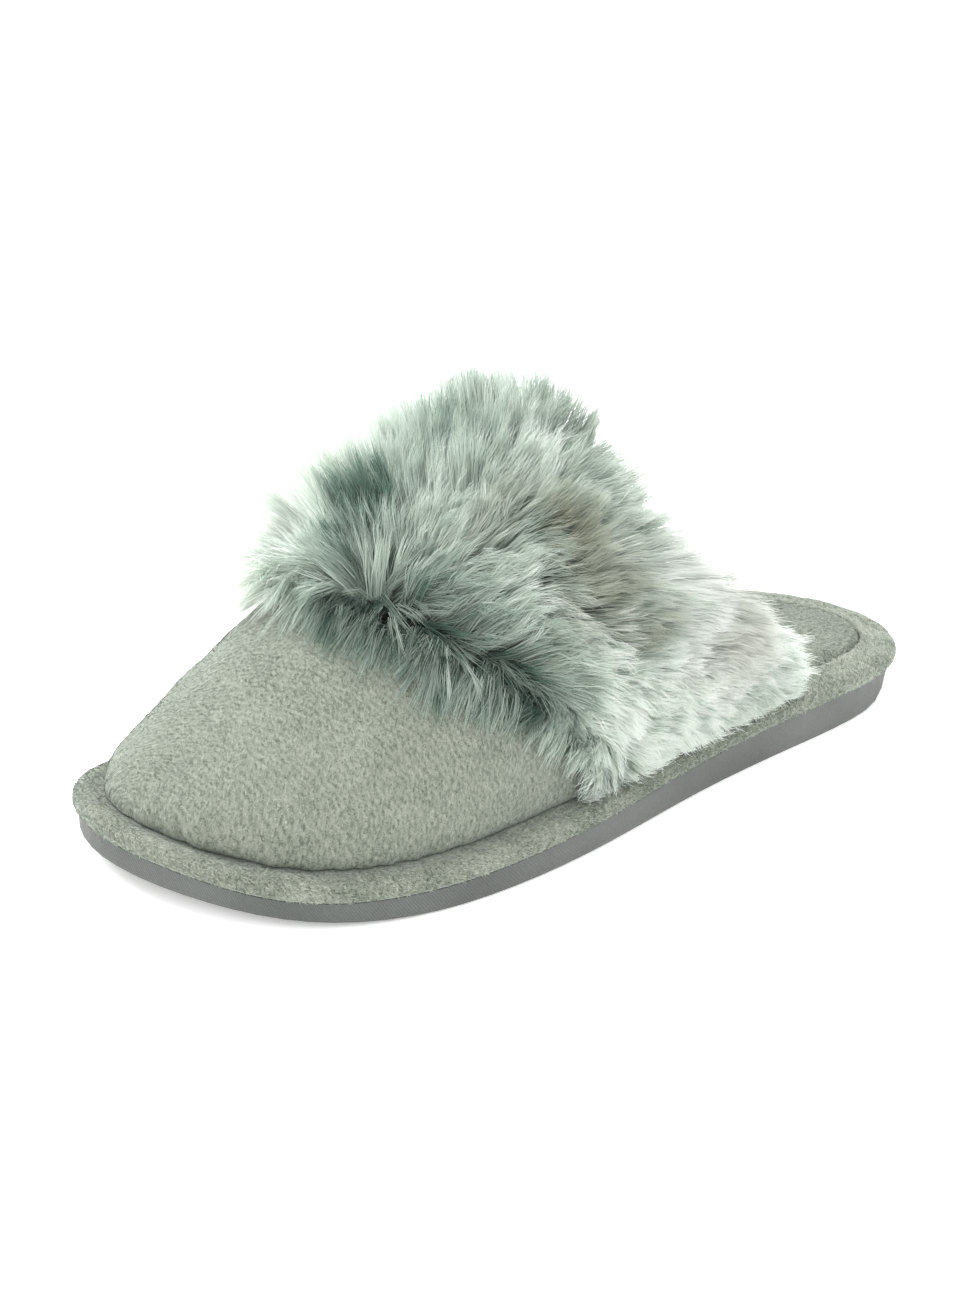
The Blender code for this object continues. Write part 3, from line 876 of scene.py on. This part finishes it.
def rung_grid(inset, rungs, across):
    """(rungs, across, 2) of fwd and side over the sole inside an inset, and the distance to the edge"""
    x = np.linspace(0, 1, rungs)
    t = TOE_ROW * (x - 0.028 * np.sin(2 * math.pi * x))
    base_o, _ = outline_at(t)
    base_i, _ = outline_at(ROWS - t)
    o = inset_outline(t, inset(base_o[:, 0]))
    i = inset_outline(ROWS - t, inset(base_i[:, 0]))
    s = 0.5 - 0.5 * np.cos(np.linspace(0, 1, across) * math.pi)
    p = o[:, None] + (i - o)[:, None] * s[None, :, None]
    t_fine = np.linspace(0, ROWS, 1200, endpoint=False)
    base, _ = outline_at(t_fine)
    edge = inset_outline(t_fine, inset(base[:, 0]))
    flat = p.reshape(-1, 2)
    away = np.empty(len(flat))
    for k in range(0, len(flat), 2000):
        away[k : k + 2000] = np.sqrt(
            ((flat[k : k + 2000, None] - edge[None]) ** 2).sum(-1).min(1)
        )
    return p, away.reshape(rungs, across)


def make_insole():
    p, away = rung_grid(lambda f: hermite(SEAM_INSET, 2, f) + 0.35, 150, 61)
    land = land_height(p[..., 0])
    roll = np.sqrt(np.clip(1 - (1 - np.clip(away / 3.6, 0, 1)) ** 2, 0, 1))
    up = land - 1.15 + 2.45 * roll + 0.70 * smooth(away, 1.0, 14)
    q = np.concatenate([p, up[..., None]], -1)
    mid, small, pucker = waves(31, 24), waves(32, 8), waves(33, 4.2)
    q[..., 2] += (0.16 * mid(q) + 0.07 * small(q)) * smooth(away, 0.4, 4)
    q[..., 2] += 0.30 * pucker(q) * np.exp(-(((away - 1.6) / 2.2) ** 2)) * smooth(away, 0.1, 0.8)
    rows, columns = q.shape[:2]
    mesh = mesh_from("plush_insole", to_world(q.reshape(-1, 3)), [grid_faces(rows, columns)])
    set_cloth(mesh, q[..., :2])
    obj = add_object(mesh, PLUSH_SOLE, ["insole"])

    def brushed(q):
        return np.tile([-0.9, 0.25, 0.0], (len(q), 1))

    def open_heel(q):
        return 0.15 + (q[..., 0] < 110)

    make_nap("insole_nap", q, 36000, 0.9, 0.32, 14, brushed, 341, size=0.8, ragged=0.6, tone_shift=0.03, weight=open_heel)
    return obj


make_insole()

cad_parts["outsole"].data.materials.clear()
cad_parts["outsole"].data.materials.append(RUBBER)


# ---------------------------------------------------------------- fur
# where the pile parts: angle away from the ridge, fwd
PARTING = (
    (0.0, 188.5),
    (16.0, 187.5),
    (31.0, 183.5),
    (40.0, 179.0),
    (50.0, 171.0),
    (60.0, 162.0),
    (72.0, 150.0),
    (82.0, 144.5),
    (90.0, 142.0),
)
FRINGE_BAND = 4.6  # the row of roots in front of the parting, which falls over the vamp
PILE = 18.0
WHORL = (188.0, 13.0)  # fwd and angle of the point from which the pile fans out

# soft patches in the pile, mostly of other colour: where their tips lie, how far they reach, what they change
PATCHES = (
    # fwd, angle, reach fwd, reach angle, whiteness, warmth
    # painted shade: the dark spot behind the fan's tips, where the next tier's roots lie
    (170.0, -1.0, 5.0, 7.5, -0.46, 0.0),
    (160.0, 20.0, 9.0, 9.0, 0.10, 0.0),
    (191.0, 14.0, 12.0, 10.0, -0.36, 0.0),
    (146.0, -6.0, 16.0, 10.0, -0.22, 0.0),
    (168.0, 68.0, 7.0, 7.0, -0.52, 0.0),
    (158.0, 78.0, 8.0, 6.0, -0.42, 0.0),
    (184.0, 34.0, 7.0, 9.0, 0.10, 0.0),
    (151.0, 73.0, 6.0, 6.0, -0.26, 0.0),
    # painted light: the rear of the outer flank, turned away from the key lamp, made lighter
    (108.0, 46.0, 14.0, 13.0, 0.50, 0.0),
    (84.0, 66.0, 14.0, 12.0, 0.20, 0.05),
    (104.0, 54.0, 10.0, 10.0, 0.16, 0.04),
    (184.0, -12.0, 8.0, 9.0, -0.32, 0.0),
    (179.0, -24.0, 10.0, 9.0, -0.16, 0.0),
    (175.0, 13.0, 7.0, 9.0, 0.16, 0.0),
    (179.0, 24.0, 9.0, 12.0, -0.34, 0.0),
    (180.0, 40.0, 9.0, 12.0, -0.26, 0.0),
    (171.0, 44.0, 8.0, 12.0, -0.24, 0.0),
    (166.0, 60.0, 8.0, 7.0, -0.30, 0.0),
    (160.0, 54.0, 6.0, 7.0, -0.40, 0.0),
    (151.0, 62.0, 6.0, 6.0, -0.20, 0.0),
    (142.0, 31.0, 6.0, 6.5, -0.22, 0.80),
    (143.0, 42.0, 7.0, 6.5, -0.22, 0.42),
    (138.0, 49.0, 8.0, 5.5, -0.16, 0.34),
    (129.0, 60.0, 7.0, 4.8, -0.30, 0.52),
    (152.0, 20.0, 8.0, 6.0, -0.08, 0.25),
    (160.0, 24.0, 7.0, 5.0, -0.05, 0.20),
    (94.0, 72.0, 14.0, 8.0, 0.20, 0.16),
    (108.0, 58.0, 12.0, 9.0, 0.16, 0.04),
    (140.0, 76.0, 16.0, 8.0, 0.20, 0.0),
    (150.0, 32.0, 8.0, 5.0, -0.14, 0.0),
    (118.0, 24.0, 10.0, 14.0, 0.10, 0.05),
)


# and patches that are set by where the hair is rooted
ROOT_PATCHES = (
    # fwd, angle, reach in mm, whiteness
    # painted shade: dark roots of the tier behind the fan's tips
    (176.0, 0.0, 5.8, -0.66),
    (176.0, -34.0, 12.0, 0.30),
    (184.0, -28.0, 8.0, 0.22),
)


def parting(angle):
    return hermite(PARTING, 1, np.abs(angle))


def sow(seed, count, extra_front=2.1):
    """Roots spread evenly over the band, a little closer in the fringe."""
    r = np.random.default_rng(seed)
    tries = count * 4
    angle = r.uniform(-89.6, 89.6, tries)
    share = r.uniform(0, 1, tries)
    front, back = parting(angle) + FRINGE_BAND, edge_line("collar", angle) - 2.0
    fwd = front + (back - front) * share
    along, around = FACE.tangents(fwd, angle)
    area = np.linalg.norm(np.cross(along, around), axis=-1) * (front - back)
    area = area * np.where(fwd > parting(angle) - 2, extra_front, 1.0)
    area = area * (1 + 0.7 * np.exp(-(((angle + 34) / 18.0) ** 2)) * smooth(fwd, 145, 160))
    keep = r.uniform(0, 1, tries) < area / (area.max() * 0.92)
    pick = np.flatnonzero(keep)
    if len(pick) < count:
        more = sow(seed + 1000, count - len(pick), extra_front)
        return tuple(np.concatenate([x[pick], y]) for x, y in zip((fwd, angle, share), more))
    pick = pick[:count]
    return fwd[pick], angle[pick], share[pick]


def groom(fwd, angle, share, r, steps, length, wild, tufts=True):
    """(n, steps, 3) of (fwd, angle, proud) along each guide hair, and how far it belongs to the fringe"""
    n = len(fwd)
    root, _ = FACE.frame_at(fwd, angle)
    turn, rise, size, wander = waves(41, 13), waves(42, 10), waves(43, 21), waves(44, 5)
    behind = parting(angle) + 1.1 * turn(root) + 0.8 * wander(root) - fwd
    flank = np.abs(angle)
    falls = smooth(-behind, -1.4, 1.6)
    at_back = smooth(share, 0.86, 1.0)
    # height of the tips, and how long the hair is
    tall = PILE * (0.54 + 0.46 * np.cos(np.radians(angle)))
    tall = tall * (1 + 0.54 * np.exp(-(((angle + 30) / 36.0) ** 2)))
    tall = tall + 4.5 * np.exp(-(((angle + 34) / 16.0) ** 2) - ((fwd - 184) / 10.0) ** 2)
    rear_edge = np.exp(-(((angle - 51) / 13.0) ** 2)) * smooth(share, 0.35, 0.75)
    rear_top = np.exp(-(((angle - 17) / 13.0) ** 2)) * smooth(share, 0.45, 0.85)
    tall = tall * (1 + 0.70 * rear_edge - 0.26 * rear_top)
    tall = tall * (1 + 0.34 * smooth(flank, 34, 56) * (1 - smooth(fwd, 92, 128)))
    tall = tall * mix(0.58, 1.0, smooth(behind, 0, 13)) * mix(1.0, 0.5, smooth(flank, 78, 89.6))
    tall = tall * (1 + 0.055 * rise(root) + 0.04 * wander(root) + r.normal(0, 0.035, n) * wild)
    tall = tall * mix(1.0, mix(r.uniform(0.16, 1.0, n), r.uniform(0.55, 1.0, n), rear_edge), at_back)
    long = length * mix(1.0, 0.86, smooth(flank, 28, 60)) * mix(1.0, 0.8, smooth(flank, 72, 89))
    long = long * (1 - 0.20 * rear_top) * mix(1.0, 0.80, at_back) * (1 + 0.05 * size(root)) * r.uniform(0.92, 1.06, n)
    long = np.maximum(long, tall * 1.08)
    # the fringe: a low arch over the vamp
    fringe_long = mix(18.0, 16.5, smooth(flank, 34, 60)) * mix(1.0, 0.62, smooth(flank, 70, 86))
    fringe_long = fringe_long * (1 + 0.09 * turn(root) + 0.06 * wander(root)) * r.uniform(0.84, 1.06, n)
    fringe_tall = r.uniform(2.2, 7.5, n) * mix(1.0, 0.8, smooth(flank, 60, 88))
    # on the inner side the row by the parting stands out instead of lying down
    inner = smooth(-angle, 2, 22)
    fringe_tall = mix(fringe_tall, r.uniform(1.5, 19.0, n), inner)
    fringe_long = mix(fringe_long, 22.0, inner)
    long = mix(long, fringe_long, falls)
    # the way over the surface: back and down, fanned out from the whorl
    lean = (inner * np.exp(-((np.maximum(behind, 0) / 24.0) ** 2)))[:, None]
    rear = np.zeros((n, 3))
    rear[:, 0] = -1.0
    rear[:, 2] = -mix(0.0, 0.42, smooth(flank, 30, 62)) + 0.05 * rise(root)
    rear[:, 1] = -0.18 * smooth(-angle, -10, 20) * (1 - smooth(-angle, 40, 75))
    _, around = FACE.tangents(fwd, angle)
    per_angle = np.linalg.norm(around, axis=-1)
    from_f = np.minimum(fwd - WHORL[0], -1.0)
    from_a = (angle - WHORL[1]) * per_angle
    radius = np.hypot(from_f, from_a)
    round_way = around / per_angle[:, None]
    along, _ = FACE.tangents(fwd, angle)
    along_way = along / np.linalg.norm(along, axis=-1, keepdims=True)
    radial = along_way * (from_f / radius)[:, None] + round_way * (from_a / radius)[:, None]
    fan = np.exp(-((radius / 34.0) ** 2)) * np.where(angle > WHORL[1], 0.55, 0.95)
    fan = fan * smooth(radius, 0, 7) * (1 - 0.6 * lean[:, 0])
    rear = rear / np.linalg.norm(rear, axis=-1, keepdims=True)
    rear = rear * (1 - lean) + np.array([0.32, -0.70, -0.10]) * lean
    rear = rear * (1 - fan)[:, None] + radial * fan[:, None]
    fall = np.zeros((n, 3))
    fall[:, 0] = mix(0.62, -0.22, smooth(flank, 56, 78))
    fall[:, 2] = -1.0
    fall[:, 1] = np.clip((angle - WHORL[1]) / 22.0, -1, 1) * 0.30
    way = rear * (1 - falls)[:, None] + fall * falls[:, None]
    # at the foot of the parting everything hangs down over the rand
    foot = (smooth(flank, 70, 80) * (1 - smooth(behind, 4, 16)))[:, None]
    down = np.zeros((n, 3))
    down[:, 0] = 0.22 - 0.055 * np.clip(behind, -4, 16)
    down[:, 2] = -1.0
    way = way * (1 - foot) + down * foot
    crossing = np.exp(-((behind / 3.5) ** 2))
    spin = 0.34 * turn(root) + 0.20 * wander(root) + r.normal(0, 0.10, n) * wild * (1 + 2.2 * crossing)
    curl = 0.25 * wander(root + 40.0) + r.normal(0, 0.12, n) * wild
    f, a = fwd.copy(), angle.copy()
    d = np.full(n, 1.2)
    out = np.empty((n, len(steps), 3))
    out[:, 0] = np.stack([f, a, d], -1)
    total = 14
    at = 1
    for k in range(total):
        x0, x1 = k / total, (k + 1) / total
        x = (x0 + x1) / 2
        along, around = FACE.tangents(f, a)
        g11 = (along * along).sum(-1)
        g12 = (along * around).sum(-1)
        g22 = (around * around).sum(-1)
        b1, b2 = (along * way).sum(-1), (around * way).sum(-1)
        det = np.maximum(g11 * g22 - g12 * g12, 1e-6)
        c1 = (g22 * b1 - g12 * b2) / det
        c2 = (g11 * b2 - g12 * b1) / det
        per_f, per_a = np.sqrt(g11), np.sqrt(g22)
        u1, u2 = c1 * per_f, c2 * per_a
        norm = np.hypot(u1, u2) + 1e-9
        u1, u2 = u1 / norm, u2 / norm
        bend = spin + curl * x
        cs, sn = np.cos(bend), np.sin(bend)
        u1, u2 = u1 * cs - u2 * sn, u1 * sn + u2 * cs
        ds = long / total
        # the height wanted at x1
        power = mix(1.35, 1.9, smooth(flank, 20, 60))
        want_back = 1.2 + (tall - 1.2) * (1 - (1 - x1) ** power)
        low_arch = np.sin(math.pi * min(x1 / 0.95, 1.0) ** 0.7)
        want_fall = 1.4 + fringe_tall * mix(low_arch, math.sin(math.pi / 2 * x1), inner)
        want = mix(want_back, want_fall, falls)
        dd = np.clip(want - d, -0.9 * ds, 0.94 * ds)
        flat = np.sqrt(np.maximum(ds * ds - dd * dd, 0))
        wide_f = 1 + np.maximum(d, 0) / 60.0
        wide_a = 1 + np.maximum(d, 0) / 38.0
        f = f + flat * u1 / per_f / wide_f
        a = a + flat * u2 / per_a / wide_a
        d = np.maximum(d + dd, 0.7)
        over = np.maximum(np.abs(a) - 89.3, 0)
        a = np.clip(a, -89.3, 89.3)
        d = d + over * per_a * 0.5
        while at < len(steps) and steps[at] <= x1 + 1e-6:
            out[:, at] = np.stack([f, a, d], -1)
            at += 1
    return out, falls


def tone_of(fwd, angle, root, falls, r, jitter):
    """whiteness, with painted light and shade in it, and warmth of a clump, from where its tip lies and where its
    root is
    """
    tip, _ = FACE.frame_at(fwd, angle)
    cloud, grain, fine, warmth = waves(51, 24), waves(52, 8), waves(55, 3.2), waves(53, 30)
    white_and_painted_light = 0.74 + 0.07 * cloud(tip) + 0.07 * grain(root) + 0.09 * fine(root)
    # painted shade: tips within about 20 degrees of the ridge are darker
    white_and_painted_light = white_and_painted_light + 0.10 * smooth(angle, 30, 55) - 0.10 * (1 - smooth(np.abs(angle - 8), 12, 26))
    warm = 0.03 + 0.04 * warmth(tip)
    white_and_painted_light = white_and_painted_light + 0.10 * smooth(angle, 60, 75) + 0.22 * smooth(-angle, 13, 21)
    # painted shade: tips at the parting, and the fringe in front of it, are darker
    painted_shade_in_parting = np.exp(-((np.maximum(parting(angle) - fwd, 0) / 7.0) ** 2)) * (1 - smooth(angle, 66, 80))
    white_and_painted_light = white_and_painted_light - 0.30 * painted_shade_in_parting * (1 - smooth(-angle, -6, 10))
    # painted shade: the fringe that falls over the vamp is darker
    white_and_painted_light = white_and_painted_light - 0.10 * falls * (1 - smooth(angle, 60, 72)) * (1 - smooth(-angle, -4, 12))
    for pf, pa, rf, ra, dw, dwarm in PATCHES:
        near = np.exp(-(((fwd - pf) / rf) ** 2 + ((angle - pa) / ra) ** 2))
        white_and_painted_light = white_and_painted_light + dw * near
        warm = warm + dwarm * near
    for pf, pa, reach, dw in ROOT_PATCHES:
        spot, _ = FACE.frame_at(np.array([pf]), np.array([pa]))
        gap = np.linalg.norm(root - spot, axis=-1)
        white_and_painted_light = white_and_painted_light + dw * np.exp(-((gap / reach) ** 2))
    n = len(fwd)
    return white_and_painted_light + r.normal(0, jitter, n), np.maximum(warm, 0) + r.normal(0, 0.02, n)


def hair_mesh(name, points, width, out_way, along, white_and_painted_light, warm, r, turned):
    """Ribbons that taper to a point. points is (n, k, 3) in millimetres, out_way (n, 3)."""
    n, k = points.shape[:2]
    step = np.empty_like(points)
    step[:, 1:-1] = points[:, 2:] - points[:, :-2]
    step[:, 0] = points[:, 1] - points[:, 0]
    step[:, -1] = points[:, -1] - points[:, -2]
    step /= np.linalg.norm(step, axis=-1, keepdims=True) + 1e-9
    # one width way for the whole hair, from its outer half, so that the ribbon has no twist
    main = points[:, -1] - points[:, k // 2]
    main /= np.linalg.norm(main, axis=-1, keepdims=True) + 1e-9
    across = np.cross(main, out_way)
    size = np.linalg.norm(across, axis=-1, keepdims=True)
    spare = np.cross(main, r.normal(size=(n, 3)))
    spare /= np.linalg.norm(spare, axis=-1, keepdims=True) + 1e-9
    loose = 1 - smooth(size, 0.15, 0.6)
    across = across / np.maximum(size, 1e-6) * (1 - loose) + spare * loose
    across /= np.linalg.norm(across, axis=-1, keepdims=True) + 1e-9
    other = np.cross(main, across)
    twist = r.normal(0, turned, (n, 1))
    across = across * np.cos(twist) + other * np.sin(twist)
    across = np.repeat(across[:, None], k, 1)
    taper = 1.0 - 0.70 * along**1.6
    half = width[:, None, None] / 2 * taper[None, :, None]
    left, right = points - across * half, points + across * half
    per = 2 * (k - 1) + 1
    v = np.empty((n, per, 3))
    v[:, 0 : per - 1 : 2] = left[:, :-1]
    v[:, 1 : per - 1 : 2] = right[:, :-1]
    v[:, -1] = points[:, -1]
    base = (np.arange(n) * per)[:, None]
    quads = [base + np.array([[2 * q, 2 * q + 1, 2 * q + 3, 2 * q + 2]]) for q in range(k - 2)]
    quads = np.stack(quads, 1).reshape(-1, 4)
    tips = base + np.array([[per - 3, per - 2, per - 1]])
    # shading normals: mostly the pile's own surface, a little the hair's side
    level = np.concatenate([np.repeat(np.arange(k - 1), 2), [k - 1]])
    side = np.cross(across, step)
    side *= np.sign((side * out_way[:, None]).sum(-1, keepdims=True) + 1e-9)
    shade = out_way[:, None] * 0.75 + side * 0.45 + step * 0.22
    shade = shade[:, level]
    shade /= np.linalg.norm(shade, axis=-1, keepdims=True) + 1e-9
    mesh = mesh_from(name, to_world(v.reshape(-1, 3)), [quads, tips])
    set_attribute(mesh, "along", np.repeat(along[None, level], n, 0))
    set_attribute(mesh, "whiteness_and_painted_light", np.repeat(white_and_painted_light[:, None], per, 1))
    set_attribute(mesh, "warmth", np.repeat(warm[:, None], per, 1))
    mesh.normals_split_custom_set_from_vertices(
        to_world_way(shade.reshape(-1, 3)).astype(np.float32)
    )
    # the map that a bake may use: a row for each tone, root to tip across
    rows = HAIR_STEPS_WHITE * HAIR_STEPS_WARM
    tone = np.round(white_and_painted_light * (HAIR_STEPS_WHITE - 1)) * HAIR_STEPS_WARM + np.round(
        warm * (HAIR_STEPS_WARM - 1)
    )
    uv = np.empty((n, per, 2), np.float32)
    uv[..., 0] = 0.02 + 0.96 * along[level][None]
    uv[..., 1] = ((tone + 0.5) / rows)[:, None]
    layer = mesh.uv_layers.new(name="OFBake", do_init=False)
    loop = np.empty(len(mesh.loops), np.int32)
    mesh.loops.foreach_get("vertex_index", loop)
    layer.uv.foreach_set("vector", uv.reshape(-1, 2)[loop].ravel())
    return mesh


def make_fur(name, seed, clumps, per_clump, steps, length, width, radius, gather, wild, pieces, shade, tuft=0.22):
    steps = np.asarray(steps, float)
    r = np.random.default_rng(seed)
    fwd, angle, share = sow(seed, clumps)
    n = len(fwd)
    paths, falls = groom(fwd, angle, share, r, steps, length, wild)
    guides = FACE.point(paths[..., 0], paths[..., 1], paths[..., 2])
    root, normal = FACE.frame_at(fwd, angle)
    # neighbouring clumps lean together into loose tufts
    heads = r.choice(n, max(n // 11, 1), replace=False)
    nearest = np.empty(n, int)
    for k in range(0, n, 1500):
        gap = ((root[k : k + 1500, None] - root[None, heads]) ** 2).sum(-1)
        gap += 60.0 * (falls[k : k + 1500, None] - falls[None, heads]) ** 2
        nearest[k : k + 1500] = heads[gap.argmin(1)]
    pull = (guides[nearest, -1] - guides[nearest, 0]) + guides[nearest, 0] - guides[:, -1]
    reach = np.linalg.norm(pull, axis=-1, keepdims=True)
    pull = pull / (reach + 1e-9) * np.minimum(reach, 5.0)
    lean_in = (tuft * (1 - 0.6 * falls))[:, None, None]
    guides = guides + pull[:, None] * (lean_in * steps[None, :, None] ** 2)
    white_and_painted_light, warm = tone_of(paths[:, -1, 0], paths[:, -1, 1], root, falls, r, 0.06)
    # shading follows the pile's bulk: the surface's normal under the hair's outer half, leaning its way
    _, out = FACE.frame_at(paths[:, -2, 0], paths[:, -2, 1])
    m = per_clump
    turn = r.uniform(0, 2 * math.pi, (n, m))
    reach = radius * np.sqrt(r.uniform(0, 1, (n, m)))
    a1 = np.cross(normal, np.array([0.12, 0.05, 1.0]))
    a1 /= np.linalg.norm(a1, axis=-1, keepdims=True)
    a2 = np.cross(normal, a1)
    offset = (
        a1[:, None] * (reach * np.cos(turn))[..., None]
        + a2[:, None] * (reach * np.sin(turn))[..., None]
    )
    closer = 1 - (gather * (1 - 0.45 * falls))[:, None] * steps[None] ** 0.8
    stray = r.normal(0, 1, (n, m, 3)) * (0.55 * wild)
    far = r.uniform(0, 1, (n, m)) < 0.07
    stray = stray * np.where(far, 2.6, 1.0)[..., None]
    longer = r.uniform(0.78, 1.0, (n, m)) * np.where(far, 1.08, 1.0)
    rel = guides - guides[:, :1]
    p = (
        guides[:, None, :1]
        + offset[:, :, None] * closer[:, None, :, None]
        + rel[:, None] * longer[:, :, None, None]
        + stray[:, :, None] * (steps**1.6)[None, None, :, None]
    )
    # nothing goes into the rand
    floor = land_height(p[..., 0]) + 0.5
    p[..., 2] = np.where(p[..., 2] < floor, floor + r.uniform(0, 0.8, p.shape[:-1]), p[..., 2])
    p = p.reshape(n * m, len(steps), 3)
    w = np.repeat(white_and_painted_light, m) + r.normal(0, 0.09, n * m) + shade
    h = np.repeat(warm, m) + r.normal(0, 0.03, n * m)
    w, h = quantised(w, HAIR_STEPS_WHITE), quantised(h, HAIR_STEPS_WARM)
    o = np.repeat(out, m, 0)
    wide = width * r.uniform(0.75, 1.25, n * m)
    made = []
    for k, part in enumerate(np.array_split(np.arange(n * m), pieces)):
        mesh = hair_mesh(f"{name}_{k + 1}", p[part], wide[part], o[part], steps, w[part], h[part], r, 0.5)
        made.append(add_object(mesh, HAIR))
    return made


def make_backing():
    """The cloth under the pile, wrapped over the collar's edge."""
    columns, rows = 121, 26
    angle = np.linspace(-89.6, 89.6, columns)
    front, back = parting(angle) + FRINGE_BAND + 0.6, edge_line("collar", angle)
    s = np.linspace(0, 1, rows)
    fwd = front[None] + (back - 1.2 - front)[None] * s[:, None]
    ang = np.repeat(angle[None], rows, 0)
    proud = 1.6 * np.clip(1 - (2 * s - 1) ** 8, 0, 1)[:, None] + 0.15 + 0 * fwd
    outer = FACE.point(fwd, ang, proud)
    lip = []
    for further, p in ((2.2, 1.0), (2.8, -0.6), (2.6, -2.2), (1.6, -3.6), (-4.0, -3.9), (-7.0, -3.3)):
        lip.append(FACE.point(back - further, angle, np.full(columns, p)))
    points = np.concatenate([outer, np.stack(lip)])
    mesh = mesh_from(
        "fur_backing", to_world(points.reshape(-1, 3)), [grid_faces(len(points), columns, turn=True)]
    )
    return add_object(mesh, BACKING, ["fur_cuff"])


make_backing()
make_fur("fur_under", 71, 4700, 9, (0, 0.4, 0.72, 1), 17.5, 0.27, 1.3, 0.25, 0.9, 2, -0.08)
make_fur("fur_pile", 72, 6300, 9, (0, 0.3, 0.58, 0.8, 1), 21.0, 0.165, 1.05, 0.54, 1.0, 3, 0.03)


# ---------------------------------------------------------------- camera, floor and light
def make_camera():
    az, el, roll = math.radians(49.96), math.radians(19.45), math.radians(3.07)
    back = Vector((math.sin(az) * math.cos(el), -math.cos(az) * math.cos(el), math.sin(el)))
    right = Vector((0, 0, 1)).cross(back).normalized()
    up = back.cross(right)
    r2 = right * math.cos(roll) + up * math.sin(roll)
    u2 = -right * math.sin(roll) + up * math.cos(roll)
    target = Vector((-24.6 - CENTRE_SIDE, -26.9 + (CENTRE_FWD - 127.5), 111.6)) * MM
    place = target + back * 0.7799
    # the same standpoint, aimed at the one slipper
    turn = Matrix((r2, u2, back)).transposed()
    aim = (turn @ Vector((AIM[0], -AIM[1], -FOCAL))).normalized()
    swing = (-back).rotation_difference(aim)
    turn = swing.to_matrix() @ turn
    cam = bpy.data.cameras.new("camera")
    cam.sensor_width = 36
    cam.lens = FOCAL / 1294 * 36 * ZOOM
    cam.clip_start, cam.clip_end = 0.05, 50
    obj = bpy.data.objects.new("camera", cam)
    obj.matrix_world = Matrix.Translation(place) @ turn.to_4x4()
    bpy.context.scene.collection.objects.link(obj)
    bpy.context.scene.camera = obj
    return obj


# the slipper's middle in the 970 x 1294 photo, from the photo's middle, and the focal length in its pixels
FOCAL, AIM, ZOOM = 2583.8, (549.5 - 485.0, 888.0 - 647.0), 1.19
make_camera()

floor_material = Nodes("floor")
floor_material.finish(srgb(0.965, 0.967, 0.963), 0.85, specular=0.1)
floor_material.shader.inputs["Emission Color"].default_value = (1.0, 1.0, 1.0, 1.0)
floor_material.shader.inputs["Emission Strength"].default_value = 0.32
floor = bpy.data.meshes.new("floor")
floor.from_pydata([(-4, -4, 0), (4, -4, 0), (4, 4, 0), (-4, 4, 0)], [], [(0, 1, 2, 3)])
floor.materials.append(floor_material.material)
floor_object = bpy.data.objects.new("floor", floor)
bpy.context.scene.collection.objects.link(floor_object)

world = bpy.data.worlds.new("studio")
world.use_nodes = True
world.node_tree.nodes["Background"].inputs["Color"].default_value = (1.0, 1.0, 1.0, 1)
world.node_tree.nodes["Background"].inputs["Strength"].default_value = 1.02
bpy.context.scene.world = world


def area_light(name, place, size, watts, at=(0, 0, 0.04)):
    data = bpy.data.lights.new(name, "AREA")
    data.shape = "DISK"
    data.size, data.energy = size, watts
    obj = bpy.data.objects.new(name, data)
    obj.location = place
    obj.rotation_euler = (Vector(at) - Vector(place)).to_track_quat("-Z", "Y").to_euler()
    bpy.context.scene.collection.objects.link(obj)


area_light("key", (-1.45, -0.50, 1.30), 1.2, 38.0)
area_light("front", (0.9, -1.4, 1.3), 1.3, 15.0)
area_light("top", (0.1, 0.1, 1.6), 1.2, 9.0)
area_light("side", (1.35, 0.95, 0.95), 1.2, 6.5)

# pale pile needs light to pass on from hair to hair
bpy.context.scene.cycles.max_bounces = 12
bpy.context.scene.cycles.diffuse_bounces = 10
bpy.context.scene.cycles.transmission_bounces = 7

bpy.context.scene.view_settings.view_transform = "Standard"
bpy.context.scene.view_settings.look = "None"
